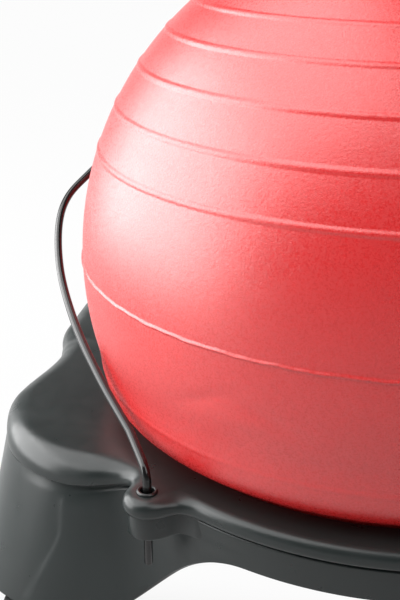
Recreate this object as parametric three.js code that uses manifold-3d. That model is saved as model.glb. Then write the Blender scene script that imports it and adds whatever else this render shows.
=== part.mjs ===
// Balance ball chair: an inflated ball seated in a moulded ring base on four twin-wheel casters,
// held down by a bent steel bar, with a lumbar support that slides on a bent steel post.
// Millimetres, +Z up, front of the chair towards -Y, floor at z = 0.

import * as THREE from 'three';
import { mergeVertices } from 'three/addons/utils/BufferGeometryUtils.js';
import Module from 'manifold-3d';

const wasm = await Module();
wasm.setup();

const degree = Math.PI / 180;

// Shared fits
const fitGap = 0.3;
const runGap = 0.5;
const cutOverrun = 4;
const roundSides = 12;
const smallSides = 10;
const bendStep = 22.5 * degree;
const weldTolerance = 1e-4;

// Ball
const ballRadius = 260;
const ballClearance = 52;
const ballWall = 1.2;
const ballBulge = 5;
const ballPinch = 10;
const ballSegments = 24;
const ridgeHeight = 1.5;
const ridgeHalfWidth = 2.6;
const seamHeight = 2;
const ridgeLatitudes = [-19.5, 19.5, 27.4, 35.2, 42.7, 49.4];
const plainLatitudes = [75, 62, 10, -9, -50, -64, -77];
const innerLatitudes = [62, 35.2, 10, -9];
const innerFootLatitude = -64;

// Degrees above the seat: where the ball swells over the lip, how wide the lip's hold is, and the rings there
const bulgeTopDegrees = 16;
const bulgeFootDegrees = -2.5;
const pinchDegrees = 4.5;
const seatDegrees = [16, 9, 6, 3, -4.5, -9];
const innerSeatDegrees = [9, 3, 0, -9];
const valveRadius = 5.5;
const plugHeadRadius = 9;
const plugHeadThickness = 1.6;
const plugLength = 12;

// Plan of the base: a ring that swells into a front pair and a rear pair of pads over the legs
const ringBand = 34.2;
const frontPadReach = 67;
const frontPadSetback = 80;
const frontPadCorner = 100;
const rearPadReach = 72;
const rearPadFront = 40;
const rearPadSetback = 28;
const rearPadCorner = 60;
const waistReach = 59;
const waistHalfLength = 70;
const waistCorner = 20;
const postPadMargin = 27;
const postPadCorner = 34;
const waistBlend = 40;
const ringBlend = 24;
const bossBlend = 26;

// Heights of the base
const ringTop = 184;
const ringEdgeDrop = 14;
const padEdgeDrop = 22;
const bandDepth = 42;
const bossDepth = 32;
const edgeChamfer = 2;
const coverWall = 3;
const lipWall = 2.6;
const seatDepth = 12;
const seatGap = 0.3;
const lipRoundRadius = 1.5;
const frameWall = 4;
const ringShoulder = 8;
const padShoulder = 20;
const shoulderSteps = 3;
const innerShoulderSteps = 2;
const frameShoulderSteps = 1;
const legFlare = 22;
const ringDraft = 3;
const ribThickness = 3;
const ribRecess = 6;
const legRibLength = 130;
const postRibLength = 100;

// Azimuths in degrees from the front: where the pads' rounding starts and is full, and the arches
const padRoundingStart = 46;
const padRoundingFull = 56;
const padRoundingEnd = 150;
const padRoundingGone = 160;
const arches = [
  { centre: 0, flatHalf: 23.5, footHalf: 48.5 },
  { centre: 92, flatHalf: 4, footHalf: 16 },
  { centre: -92, flatHalf: 4, footHalf: 16 },
  { centre: 180, flatHalf: 12, footHalf: 40 },
];
const innerArchShare = 1.2;

// Half of the azimuth stations in degrees, closer together where the outline turns
const stationSpans = [
  { to: 23.5, steps: 3 },
  { to: 33, steps: 2 },
  { to: 47, steps: 5 },
  { to: 62, steps: 4 },
  { to: 76, steps: 2 },
  { to: 88, steps: 2 },
  { to: 96, steps: 1 },
  { to: 108, steps: 2 },
  { to: 120, steps: 2 },
  { to: 136, steps: 4 },
  { to: 150, steps: 2 },
  { to: 168, steps: 3 },
  { to: 180, steps: 2 },
];

// Retaining bar and the bosses that take its ends
const bossOffset = 14;
const bossAzimuth = 40.4 * degree;
const bossRadius = 18;
const bossReach = 9 * degree;
const barRadius = 3.25;
const barTail = 28;
const barBendRise = 16;
const barSlope = 26 * degree;
const eyeletBore = 5;
const eyeletRadius = 6.3;
const eyeletFlangeRadius = 7.75;
const eyeletFlangeThickness = 1.7;
const barSides = 8;
const barSteps = 34;
const barBendRadius = 16;

// The bar's half loop in its sloping plane, as shares of the ball's radius: to the side, along the slope
const barLoopShares = [
  [0.731, 0.128],
  [0.86, 0.311],
  [0.988, 0.523],
  [1.093, 0.757],
  [1.148, 0.98],
  [1.146, 1.095],
  [1.108, 1.2],
  [0.995, 1.42],
  [0.79, 1.65],
  [0.43, 1.848],
  [0, 1.915],
];

// Casters
const casterFrontInset = 42;
const casterFrontSetback = 30;
const casterRearInset = 50;
const casterRearSetback = 42;
const wheelRadius = 25;
const wheelWidth = 17;
const wheelSegments = 16;
const wheelChamfer = 3;
const wheelFace = 2;
const webWidth = 12;
const trail = 20;
const axleRadius = 3;
const axleEndWall = 3.2;
const hubRadius = 9;
const hoodGap = 1.4;
const hoodWall = 2.6;
const webRecess = 1.5;
const hoodTrailAngle = 28 * degree;
const hoodStemAngle = 188 * degree;
const hoodSteps = 4;
const hubSteps = 8;
const stemBossRadius = 9;
const stemBossHeight = 5.3;
const pinRadius = 3.8;
const pinDepth = 20;
const stemRadius = 5.5;
const stemLength = 34;
const stemCollarRadius = 9;
const stemCollarThickness = 1.9;
const socketRadius = 8;
const socketFlangeRadius = 12;
const socketFlangeThickness = 1.7;
const socketLength = 38;
const socketBossRadius = 15;

// Brake lever on each front caster
const leverPinOffset = 0.4;
const leverPinAngle = 14 * degree;
const leverPinRadius = 1.5;
const leverBarrelRadius = 3.4;
const leverWidth = 44;
const leverReach = 17;
const leverThickness = 2.8;
const leverLift = 10 * degree;

// Back post: one steel tube bent into a U, tilted back above its lower bend
const postX = 105;
const ballPostGap = 19;
const postRadius = 11;
const postWall = 1.5;
const postSides = 12;
const postSocketDepth = 88;
const postSocketWall = 7;
const postFloorThickness = 4;
const postBendRise = 116;
const postTilt = 12 * degree;
const postBendRadius = 150;
const postLength = 462;
const postTopRadius = 30;
const collarWall = 5;
const collarHeight = 6;

// Lumbar support, placed along the tilted post
const sleeveStation = 348;
const sleeveHeight = 60;
const sleeveWall = 4.4;
const plateThickness = 6;
const plateHeight = 44;
const shellStation = 383;
const shellHalfWidth = 170;
const shellHalfHeight = 85;
const shellThickness = 6;
const shellOffset = 15;
const shellWrapDepth = 38;
const shellCrownDepth = 14;
const shellCornerExponent = 4;
const shellRingSteps = 3;
const shellSegments = 24;
const mountHalfWidth = 62;
const mountHalfHeight = 20;
const boltX = 45;
const boltSpread = 12;
const boltRadius = 3;
const boltHeadRadius = 5.5;
const boltHeadHeight = 3.5;
const boltSides = 6;
const knobBossRadius = 8;
const knobBossLength = 9;
const knobStemRadius = 4;
const knobRadius = 16;
const knobLobe = 1.6;
const knobLobes = 7;
const knobThickness = 15;

// Sizes and places that follow from the ball and the ring
const ballCentreHeight = ballClearance + ballRadius;
const seatLatitude = -Math.asin((ballCentreHeight - ringTop) / (ballRadius - ballPinch)) / degree;
const ringRadius = seatCircle(ringTop) + ringBand;
const frontPadHalfWidth = ringRadius + frontPadReach;
const frontPadEdge = frontPadSetback - ringRadius;
const frontPadRear = frontPadEdge + 2 * frontPadCorner;
const rearPadHalfWidth = ringRadius + rearPadReach;
const rearPadEdge = ringRadius - rearPadSetback;
const waistHalfWidth = ringRadius + waistReach;
const ringEdgeHeight = ringTop - ringEdgeDrop;
const padEdgeHeight = ringTop - padEdgeDrop;
const bandBottom = ringTop - bandDepth;
const bossBottom = ringTop - bossDepth;
const bossX = (ringRadius + bossOffset) * Math.sin(bossAzimuth);
const bossY = -(ringRadius + bossOffset) * Math.cos(bossAzimuth);
const barBendHeight = ringTop + barBendRise;
const barEndHeight = bossBottom - barTail;
const postY = Math.sqrt(ballRadius ** 2 - postX ** 2) + ballPostGap + postRadius;
const postBendHeight = ringTop + postBendRise;
const postSocketFloor = ringTop - postSocketDepth;
const postPadHalfWidth = postX + postPadMargin;
const postPadRear = postY + postPadMargin;
const casterFrontX = frontPadHalfWidth - casterFrontInset;
const casterFrontY = frontPadEdge + casterFrontSetback;
const casterRearX = rearPadHalfWidth - casterRearInset;
const casterRearY = rearPadEdge - casterRearSetback;
const axleHeight = wheelRadius * Math.cos(Math.PI / wheelSegments);
const hoodInner = wheelRadius + hoodGap;
const hoodOuter = hoodInner + hoodWall;
const webRadius = hoodOuter - webRecess;
const leverPinOrbit = hoodOuter + leverPinOffset;
const housingTop = axleHeight + hoodOuter;
const stemShoulder = housingTop + fitGap + stemCollarThickness;
const footHeight = stemShoulder + fitGap + socketFlangeThickness + fitGap;

// Materials
const material = (color, roughness, metalness = 0) =>
  new THREE.MeshStandardMaterial({ color, roughness, metalness });
const ballVinyl = material(0xd83232, 0.42);
const basePlastic = material(0x394040, 0.5);
const casterPlastic = material(0x1d2020, 0.55);
const wheelPlastic = material(0x2b2e2e, 0.6);
const barSteel = material(0x121413, 0.25, 0.6);
const postSteel = material(0x181a1a, 0.35, 0.5);
const brightSteel = material(0x9da1a0, 0.35, 1);
const socketPlastic = material(0x101212, 0.5);

// Solids

function closedGeometry(source) {
  const bare = new THREE.BufferGeometry();
  bare.setAttribute('position', source.getAttribute('position').clone());
  if (source.index) {
    bare.setIndex(source.index.clone());
  }
  const welded = mergeVertices(bare, weldTolerance);
  const position = welded.getAttribute('position');
  const index = welded.index.array;
  const kept = [];
  let volume = 0;
  const [a, b, c] = [new THREE.Vector3(), new THREE.Vector3(), new THREE.Vector3()];
  for (let i = 0; i < index.length; i += 3) {
    const [p, q, r] = [index[i], index[i + 1], index[i + 2]];
    if (p !== q && q !== r && r !== p) {
      kept.push([p, q, r]);
      a.fromBufferAttribute(position, p);
      b.fromBufferAttribute(position, q);
      c.fromBufferAttribute(position, r);
      volume += a.dot(b.cross(c));
    }
  }
  const outward = volume > 0 ? kept : kept.map(([p, q, r]) => [p, r, q]);
  welded.setIndex(outward.flat());
  return welded;
}

function solid(geometry) {
  const closed = closedGeometry(geometry);
  const vertProperties = new Float32Array(closed.getAttribute('position').array);
  const triVerts = new Uint32Array(closed.index.array);
  return new wasm.Manifold(new wasm.Mesh({ numProp: 3, vertProperties, triVerts }));
}

function surface(manifold) {
  const mesh = manifold.getMesh();
  const geometry = new THREE.BufferGeometry();
  geometry.setAttribute('position', new THREE.Float32BufferAttribute(mesh.vertProperties, 3));
  geometry.setIndex(new THREE.Uint32BufferAttribute(mesh.triVerts, 1));
  return geometry;
}

function piece(name, shape, finish) {
  const geometry = shape.isBufferGeometry ? shape : surface(shape);
  const flat = closedGeometry(geometry).toNonIndexed();
  flat.computeVertexNormals();
  const mesh = new THREE.Mesh(flat, finish);
  mesh.name = name;
  return mesh;
}

// Solid of revolution about +Z from [radius, height] pairs
function turned(profile, segments, turn = 0) {
  const points = profile.map(([radius, height]) => new THREE.Vector2(radius, height));
  return new THREE.LatheGeometry(points, segments, turn).rotateX(Math.PI / 2);
}

function rod(radius, from, to, segments = smallSides) {
  return turned([[0, from], [radius, from], [radius, to], [0, to]], segments);
}

function block(size, centre) {
  return new THREE.BoxGeometry(...size).translate(...centre);
}

// Extrudes an outline drawn in the Y-Z plane along X, centred on x = 0
function sideExtrusion(shape, width, curveSegments = 10) {
  return new THREE.ExtrudeGeometry(shape, { depth: width, bevelEnabled: false, curveSegments })
    .translate(0, 0, -width / 2)
    .rotateY(Math.PI / 2)
    .rotateX(Math.PI / 2);
}

function polygon(radius, sides) {
  const points = [];
  for (let i = 0; i < sides; i += 1) {
    const angle = (i / sides) * 2 * Math.PI;
    points.push(new THREE.Vector2(radius * Math.cos(angle), radius * Math.sin(angle)));
  }
  return points;
}

// A path that a section follows station by station, with the section square to the mean direction
class StationPath extends THREE.Curve {
  constructor(stations) {
    super();
    this.stations = stations;
  }

  getPoint(share) {
    return this.stations[Math.round(share * (this.stations.length - 1))].clone();
  }

  getPointAt(share) {
    return this.getPoint(share);
  }

  getTangentAt(share) {
    const last = this.stations.length - 1;
    const at = Math.round(share * last);
    const before = this.stations[Math.max(at - 1, 0)];
    const after = this.stations[Math.min(at + 1, last)];
    return after.clone().sub(before).normalize();
  }
}

function swept(stations, shape) {
  return new THREE.ExtrudeGeometry(shape, {
    steps: stations.length - 1,
    extrudePath: new StationPath(stations),
  });
}

// Straight runs between corners, each corner rounded to its radius
function roundedStations(corners, radii, stepAngle) {
  const stations = [corners[0]];
  for (let i = 1; i < corners.length - 1; i += 1) {
    const inward = corners[i - 1].clone().sub(corners[i]).normalize();
    const outward = corners[i + 1].clone().sub(corners[i]).normalize();
    const turn = Math.PI - inward.angleTo(outward);
    const tangent = radii[i - 1] * Math.tan(turn / 2);
    const normal = inward.clone().add(outward).normalize();
    const centre = corners[i].clone().addScaledVector(normal, radii[i - 1] / Math.cos(turn / 2));
    const start = corners[i].clone().addScaledVector(inward, tangent).sub(centre);
    const axis = start.clone().cross(corners[i].clone().sub(centre)).normalize();
    const steps = Math.max(Math.round(turn / stepAngle), 2);
    for (let k = 0; k <= steps; k += 1) {
      stations.push(start.clone().applyAxisAngle(axis, (turn * k) / steps).add(centre));
    }
  }
  stations.push(corners[corners.length - 1]);
  return stations;
}

// Two triangles over each side between neighbouring sections, split along the shorter diagonal
function skinIndex(sections, joins) {
  const count = sections[0].length;
  const index = [];
  for (let i = 0; i < joins; i += 1) {
    const next = (i + 1) % sections.length;
    for (let k = 0; k < count; k += 1) {
      const after = (k + 1) % count;
      const [a, b] = [i * count + k, i * count + after];
      const [c, d] = [next * count + after, next * count + k];
      const down = sections[i][k].distanceTo(sections[next][after]);
      const up = sections[i][after].distanceTo(sections[next][k]);
      index.push(...(down < up ? [a, b, c, a, c, d] : [a, b, d, b, c, d]));
    }
  }
  return index;
}

function indexedGeometry(points, index) {
  const geometry = new THREE.BufferGeometry();
  geometry.setAttribute('position', new THREE.Float32BufferAttribute(points.flatMap((p) => p.toArray()), 3));
  geometry.setIndex(index);
  return geometry;
}

// Closed sections joined one to the next, the last back to the first
function loftedRing(sections) {
  return indexedGeometry(sections.flat(), skinIndex(sections, sections.length));
}

// Triangles over a section, each wound the way its outline is
function capTriangles(outline) {
  const turn = THREE.ShapeUtils.area(outline);
  return THREE.ShapeUtils.triangulateShape(outline, []).map(([p, q, r]) => {
    const area = THREE.ShapeUtils.area([outline[p], outline[q], outline[r]]);
    return area * turn > 0 ? [p, q, r] : [p, r, q];
  });
}

// Closed sections joined one to the next, with a cap over the first and the last
function loftedSector(sections, capOutline) {
  const last = sections.length - 1;
  const index = skinIndex(sections, last);
  capTriangles(capOutline(0)).forEach(([p, q, r]) => {
    index.push(p, r, q);
  });
  capTriangles(capOutline(last)).forEach((corners) => {
    index.push(...corners.map((corner) => last * sections[0].length + corner));
  });
  return indexedGeometry(sections.flat(), index);
}

// Plan outline of the base

function polar(radius, azimuth, height) {
  return new THREE.Vector3(radius * Math.sin(azimuth), -radius * Math.cos(azimuth), height);
}

function smoothUnion(a, b, blend) {
  const overlap = Math.max(blend - Math.abs(a - b), 0) / blend;
  return Math.min(a, b) - (overlap * overlap * blend) / 4;
}

function roundedBoxDistance(x, y, halfWidth, front, rear, corner) {
  const dx = Math.abs(x) - halfWidth + corner;
  const dy = Math.abs(y - (front + rear) / 2) - (rear - front) / 2 + corner;
  const outside = Math.hypot(Math.max(dx, 0), Math.max(dy, 0));
  return outside + Math.min(Math.max(dx, dy), 0) - corner;
}

function outlineDistance(x, y, flare, draft, bosses) {
  const front = roundedBoxDistance(
    x, y, frontPadHalfWidth + flare, frontPadEdge - flare, frontPadRear, frontPadCorner);
  const rear = roundedBoxDistance(
    x, y, rearPadHalfWidth + flare, rearPadFront, rearPadEdge + flare, rearPadCorner);
  const waist = roundedBoxDistance(
    x, y, waistHalfWidth + flare, -waistHalfLength, waistHalfLength, waistCorner);
  const postPad = roundedBoxDistance(x, y, postPadHalfWidth, 0, postPadRear, postPadCorner);
  const ring = smoothUnion(Math.hypot(x, y) - ringRadius + draft, postPad + draft, ringBlend);
  const sides = smoothUnion(front, smoothUnion(rear, waist, waistBlend / 2), waistBlend);
  const base = smoothUnion(ring, sides, ringBlend);
  if (!bosses) {
    return base;
  }
  const boss = Math.hypot(Math.abs(x) - bossX, y - bossY) - bossRadius;
  return smoothUnion(base, boss, bossBlend);
}

// Radius of the outline at an azimuth, taken in from its edge by an inset
function outlineRadius(azimuth, inset, { flare = 0, draft = 0, bosses = false } = {}) {
  const farthest = Math.hypot(rearPadHalfWidth, postPadRear) + legFlare;
  const scans = 400;
  const inside = (radius) => {
    const point = polar(radius, azimuth, 0);
    return outlineDistance(point.x, point.y, flare, draft, bosses) < -inset;
  };
  let outer = farthest;
  let inner = farthest;
  for (let i = 1; i < scans && !inside(inner); i += 1) {
    outer = inner;
    inner = farthest * (1 - i / scans);
  }
  for (let i = 0; i < 20; i += 1) {
    const middle = (outer + inner) / 2;
    if (inside(middle)) {
      inner = middle;
    } else {
      outer = middle;
    }
  }
  return inner;
}

function smoothStep(from, to, value) {
  const share = Math.min(Math.max((value - from) / (to - from), 0), 1);
  return share * share * (3 - 2 * share);
}

// 0 on the ring and the bosses, 1 on the pads over the legs
function padShare(azimuth) {
  const turn = Math.abs(azimuth) / degree;
  const front = smoothStep(padRoundingStart, padRoundingFull, turn);
  return front * (1 - smoothStep(padRoundingEnd, padRoundingGone, turn));
}

function shoulderRadius(azimuth) {
  return THREE.MathUtils.lerp(ringShoulder, padShoulder, padShare(azimuth));
}

function coverEdgeHeight(azimuth) {
  return THREE.MathUtils.lerp(ringEdgeHeight, padEdgeHeight, padShare(azimuth));
}

// Lower edge of the frame: level on the feet, rising along each arch to the band.
// A spread above 1 widens the arches.
function bottomHeight(azimuth, spread) {
  let height = footHeight;
  arches.forEach(({ centre, flatHalf, footHalf }) => {
    const difference = azimuth / degree - centre;
    const offset = Math.abs(difference - 360 * Math.round(difference / 360)) / spread;
    if (offset < footHalf) {
      const share = Math.max(offset - flatHalf, 0) / (footHalf - flatHalf);
      height = bandBottom - (bandBottom - footHeight) * share * share;
    }
  });
  return height;
}

function stationAzimuths() {
  const half = [0];
  stationSpans.forEach(({ to, steps }) => {
    const from = half[half.length - 1];
    for (let i = 1; i <= steps; i += 1) {
      half.push(from + ((to - from) * i) / steps);
    }
  });
  const mirrored = half.slice(1, -1).reverse().map((turn) => -turn);
  return [...mirrored, ...half].map((turn) => turn * degree);
}

const azimuths = stationAzimuths();
const widestStep = Math.max(...azimuths.slice(1).map((azimuth, i) => azimuth - azimuths[i]));

// The lip's facets stay outside the round ball
function seatRadius(height) {
  return (seatCircle(height) + seatGap) / Math.cos(widestStep / 2);
}

const frameInset = coverWall + runGap;
const frameTop = ringTop - frameInset;
const innerWallRadius = seatRadius(ringTop) + lipWall + fitGap;

// The rounding from the top face over the edge, taken in by an inset
function shoulderPoints(azimuth, inset, bosses, steps) {
  const shoulder = shoulderRadius(azimuth);
  const points = [];
  for (let i = 0; i <= steps; i += 1) {
    const angle = (i / steps) * (Math.PI / 2);
    const depth = inset + (shoulder - inset) * (1 - Math.sin(angle));
    const height = ringTop - inset - (shoulder - inset) * (1 - Math.cos(angle));
    points.push(polar(outlineRadius(azimuth, depth, { bosses }), azimuth, height));
  }
  return points;
}

// Upper moulding: flat top, rounded shoulders, bar bosses and the lip that the ball sits in
function coverSection(azimuth) {
  const edge = coverEdgeHeight(azimuth);
  const lipFoot = ringTop - seatDepth;
  const under = ringTop - coverWall;
  const outer = shoulderPoints(azimuth, 0, true, shoulderSteps);
  const inner = shoulderPoints(azimuth, coverWall, true, innerShoulderSteps);
  return [
    polar(seatRadius(lipFoot), azimuth, lipFoot),
    polar(seatRadius(ringTop - lipRoundRadius), azimuth, ringTop - lipRoundRadius),
    polar(seatRadius(ringTop) + lipRoundRadius, azimuth, ringTop),
    ...outer,
    polar(outlineRadius(azimuth, 0, { bosses: true }), azimuth, edge + edgeChamfer),
    polar(outlineRadius(azimuth, edgeChamfer, { bosses: true }), azimuth, edge),
    polar(outlineRadius(azimuth, coverWall, { bosses: true }), azimuth, edge),
    ...inner.reverse(),
    polar(seatRadius(under) + lipWall, azimuth, under),
    polar(seatRadius(lipFoot) + lipWall, azimuth, lipFoot),
  ];
}

function baseCover() {
  let cover = solid(loftedRing(azimuths.map(coverSection)));
  [-1, 1].forEach((side) => {
    const eyeletHole = rod(eyeletRadius + fitGap, bandBottom, ringTop + cutOverrun, roundSides)
      .translate(side * bossX, bossY, 0);
    const postHole = rod(postRadius + runGap, bandBottom, ringTop + cutOverrun, roundSides)
      .translate(side * postX, postY, 0);
    cover = cover.subtract(solid(eyeletHole)).subtract(solid(postHole));
  });
  return cover;
}

// Outer skin of the lower moulding, or a parallel one inside it, from the inner wall round to the foot
function frameSection(azimuth, wall, overrun) {
  const inset = frameInset + wall;
  const bottom = bottomHeight(azimuth, 1);
  const skirt = [coverEdgeHeight(azimuth), bottom].map((height) => {
    const flareShare = Math.max((padEdgeHeight - height) / (padEdgeHeight - footHeight), 0);
    const draftShare = Math.min((ringEdgeHeight - height) / (ringEdgeHeight - bandBottom), 1);
    const lean = { flare: legFlare * flareShare, draft: ringDraft * draftShare };
    return polar(outlineRadius(azimuth, inset, lean), azimuth, height);
  });
  const foot = skirt[1].clone();
  foot.z = bottom - overrun;
  return [
    polar(innerWallRadius + wall, azimuth, frameTop - wall),
    ...shoulderPoints(azimuth, inset, false, frameShoulderSteps),
    ...skirt,
    foot,
    polar(innerWallRadius + wall, azimuth, bottomHeight(azimuth, innerArchShare) - overrun),
  ];
}

// The frame's share of a bar boss, a block that fills the skin there
function bossBlock(side) {
  const centre = Math.atan2(side * bossX, -bossY);
  const sections = azimuths.filter((azimuth) => Math.abs(azimuth - centre) < bossReach).map((azimuth) => [
    polar(innerWallRadius + frameWall / 2, azimuth, frameTop - frameWall / 2),
    polar(innerWallRadius + frameWall, azimuth, frameTop),
    ...shoulderPoints(azimuth, frameInset, true, innerShoulderSteps),
    polar(outlineRadius(azimuth, frameInset, { bosses: true }), azimuth, bossBottom),
    polar(innerWallRadius + frameWall / 2, azimuth, bossBottom),
  ]);
  const capOutline = (at) =>
    sections[at].map((point) => new THREE.Vector2(Math.hypot(point.x, point.y), point.z));
  return loftedSector(sections, capOutline);
}

function rib(x, y, direction, length, from) {
  return block([ribThickness, length, frameTop - from], [0, 0, (frameTop + from) / 2])
    .rotateZ(direction)
    .translate(x, y, 0);
}

function baseFrame() {
  const skin = (wall, overrun) =>
    solid(loftedRing(azimuths.map((azimuth) => frameSection(azimuth, wall, overrun))));
  const inside = skin(frameWall / 2, 0);
  let frame = skin(0, 0).subtract(skin(frameWall, cutOverrun));
  const addInside = (geometry) => {
    frame = frame.add(solid(geometry).intersect(inside));
  };
  casterPlaces.forEach(({ x, y }) => {
    const radial = Math.atan2(-x, y);
    addInside(rib(x, y, radial, legRibLength, footHeight + ribRecess));
    addInside(rib(x, y, radial + Math.PI / 2, legRibLength, footHeight + ribRecess));
    addInside(rod(socketBossRadius, footHeight, frameTop - frameWall / 2, roundSides).translate(x, y, 0));
  });
  [-1, 1].forEach((side) => {
    const radial = Math.atan2(-side * postX, postY);
    addInside(rib(side * postX, postY, radial, postRibLength, bandBottom + ribRecess / 2));
    const socket = (top) =>
      rod(postRadius + runGap + postSocketWall, postSocketFloor, top, roundSides)
        .translate(side * postX, postY, 0);
    addInside(socket(frameTop - frameWall / 2));
    frame = frame.add(solid(socket(bossBottom)));
    frame = frame.add(solid(bossBlock(side)));
  });
  [-1, 1].forEach((side) => {
    const barHole = rod(barRadius + fitGap, bandBottom, ringTop + cutOverrun);
    const boreFloor = postSocketFloor + postFloorThickness;
    const postBore = rod(postRadius + runGap, boreFloor, ringTop + cutOverrun, roundSides);
    frame = frame.subtract(solid(barHole.translate(side * bossX, bossY, 0)));
    frame = frame.subtract(solid(postBore.translate(side * postX, postY, 0)));
  });
  casterPlaces.forEach(({ x, y }) => {
    const bore = rod(socketRadius + fitGap, footHeight - cutOverrun, footHeight + socketLength, roundSides);
    frame = frame.subtract(solid(bore.translate(x, y, 0)));
  });
  return frame;
}

// Ball

function ridgeRise(latitude) {
  return ridgeLatitudes.includes(latitude) ? ridgeHeight : 0;
}

// The ball's film: round, swollen above the lip and drawn in where the lip holds it
function filmRadius(latitude) {
  const above = latitude - seatLatitude;
  const share = (bulgeTopDegrees - above) / (bulgeTopDegrees - bulgeFootDegrees);
  const bulge = share > 0 && share < 1 ? ballBulge * Math.sin(Math.PI * share) ** 2 : 0;
  return ballRadius + bulge - ballPinch * Math.exp(-((above / pinchDegrees) ** 2));
}

// Latitude at which the film passes a height near the seat
function filmLatitude(height) {
  let latitude = seatLatitude;
  for (let i = 0; i < 20; i += 1) {
    latitude = Math.asin((height - ballCentreHeight) / filmRadius(latitude)) / degree;
  }
  return latitude;
}

function seatCircle(height) {
  const latitude = filmLatitude(height);
  return filmRadius(latitude) * Math.cos(latitude * degree);
}

function ballSurface(latitude) {
  const seam = latitude === 0 ? seamHeight : 0;
  return filmRadius(latitude) + ridgeRise(latitude) + seam;
}

function ballPoint(radius, latitude) {
  return [radius * Math.cos(latitude * degree), ballCentreHeight + radius * Math.sin(latitude * degree)];
}

function ballShell() {
  const flank = ridgeHalfWidth / ballRadius / degree;
  const raised = [0, ...ridgeLatitudes];
  const outerLatitudes = raised.flatMap((latitude) => [latitude - flank, latitude, latitude + flank]);
  outerLatitudes.push(...plainLatitudes, ...seatDegrees.map((above) => seatLatitude + above));
  outerLatitudes.push(...[ringTop, ringTop - lipRoundRadius, ringTop - seatDepth].map(filmLatitude));
  outerLatitudes.sort((a, b) => a - b);
  const valveLatitude = -90 + valveRadius / ballRadius / degree;
  const innerRadius = ballRadius - ballWall;
  const innerValve = ballPoint(innerRadius, valveLatitude);
  const profile = [[0, ballCentreHeight + innerRadius]];
  const innerSeat = innerSeatDegrees.map((above) => seatLatitude + above);
  [...innerLatitudes, ...innerSeat, innerFootLatitude].forEach((latitude) => {
    profile.push(ballPoint(filmRadius(latitude) - ballWall, latitude));
  });
  profile.push([valveRadius, innerValve[1]]);
  profile.push([valveRadius, ballPoint(ballRadius, valveLatitude)[1]]);
  outerLatitudes.forEach((latitude) => {
    profile.push(ballPoint(ballSurface(latitude), latitude));
  });
  profile.push([0, ballCentreHeight + ballRadius]);
  return turned(profile, ballSegments);
}

function ballPlug() {
  const underside = ballCentreHeight - ballRadius;
  const head = underside - fitGap;
  return turned([
    [0, head - plugHeadThickness],
    [plugHeadRadius, head - plugHeadThickness / 2],
    [plugHeadRadius, head],
    [valveRadius - fitGap, head],
    [valveRadius - fitGap, head + plugLength],
    [0, head + plugLength],
  ], smallSides);
}

// Retaining bar

function barStations() {
  const mirrored = (points) => points.map((point) => new THREE.Vector3(-point.x, point.y, point.z)).reverse();
  const loop = barLoopShares.map(([side, run]) => new THREE.Vector3(
    side * ballRadius,
    bossY + run * ballRadius * Math.cos(barSlope),
    barBendHeight + run * ballRadius * Math.sin(barSlope)));
  const curve = new THREE.CatmullRomCurve3([...loop, ...mirrored(loop.slice(0, -1))], false, 'centripetal');
  const foot = new THREE.Vector3(bossX, bossY, barEndHeight);
  const bend = new THREE.Vector3(bossX, bossY, barBendHeight);
  const leg = roundedStations([foot, bend, loop[0]], [barBendRadius], bendStep).slice(0, -1);
  return [...leg, ...curve.getPoints(barSteps), ...mirrored(leg)];
}

function retainingBar() {
  return swept(barStations(), new THREE.Shape(polygon(barRadius, barSides)));
}

function barEyelet() {
  const seat = ringTop + fitGap;
  return turned([
    [eyeletBore, frameTop + fitGap],
    [eyeletRadius, frameTop + fitGap],
    [eyeletRadius, seat],
    [eyeletFlangeRadius, seat],
    [eyeletFlangeRadius, seat + eyeletFlangeThickness / 2],
    [(eyeletFlangeRadius + eyeletBore) / 2, seat + eyeletFlangeThickness],
    [eyeletBore, seat + eyeletFlangeThickness / 2],
    [eyeletBore, frameTop + fitGap],
  ], roundSides);
}

// Casters, each in its own frame: swivel axis at x = 0, y = 0, axle at y = trail

const casterPlaces = [
  { name: 'front_left', x: -casterFrontX, y: casterFrontY, braked: true },
  { name: 'front_right', x: casterFrontX, y: casterFrontY, braked: true },
  { name: 'rear_left', x: -casterRearX, y: casterRearY, braked: false },
  { name: 'rear_right', x: casterRearX, y: casterRearY, braked: false },
];

function casterWheel() {
  const bore = axleRadius + fitGap;
  const outer = wheelWidth;
  const profile = [
    [0, outer - axleEndWall],
    [bore, outer - axleEndWall],
    [bore, 0],
    [wheelRadius, 0],
    [wheelRadius, outer - wheelChamfer],
    [wheelRadius - wheelFace, outer],
    [0, outer],
  ];
  const facetDown = Math.PI / 2 - Math.PI / wheelSegments;
  return turned(profile, wheelSegments, facetDown).rotateY(Math.PI / 2);
}

function casterAxle() {
  const half = webWidth / 2 + runGap + wheelWidth - axleEndWall - fitGap;
  return rod(axleRadius, -half, half).rotateY(Math.PI / 2);
}

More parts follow.
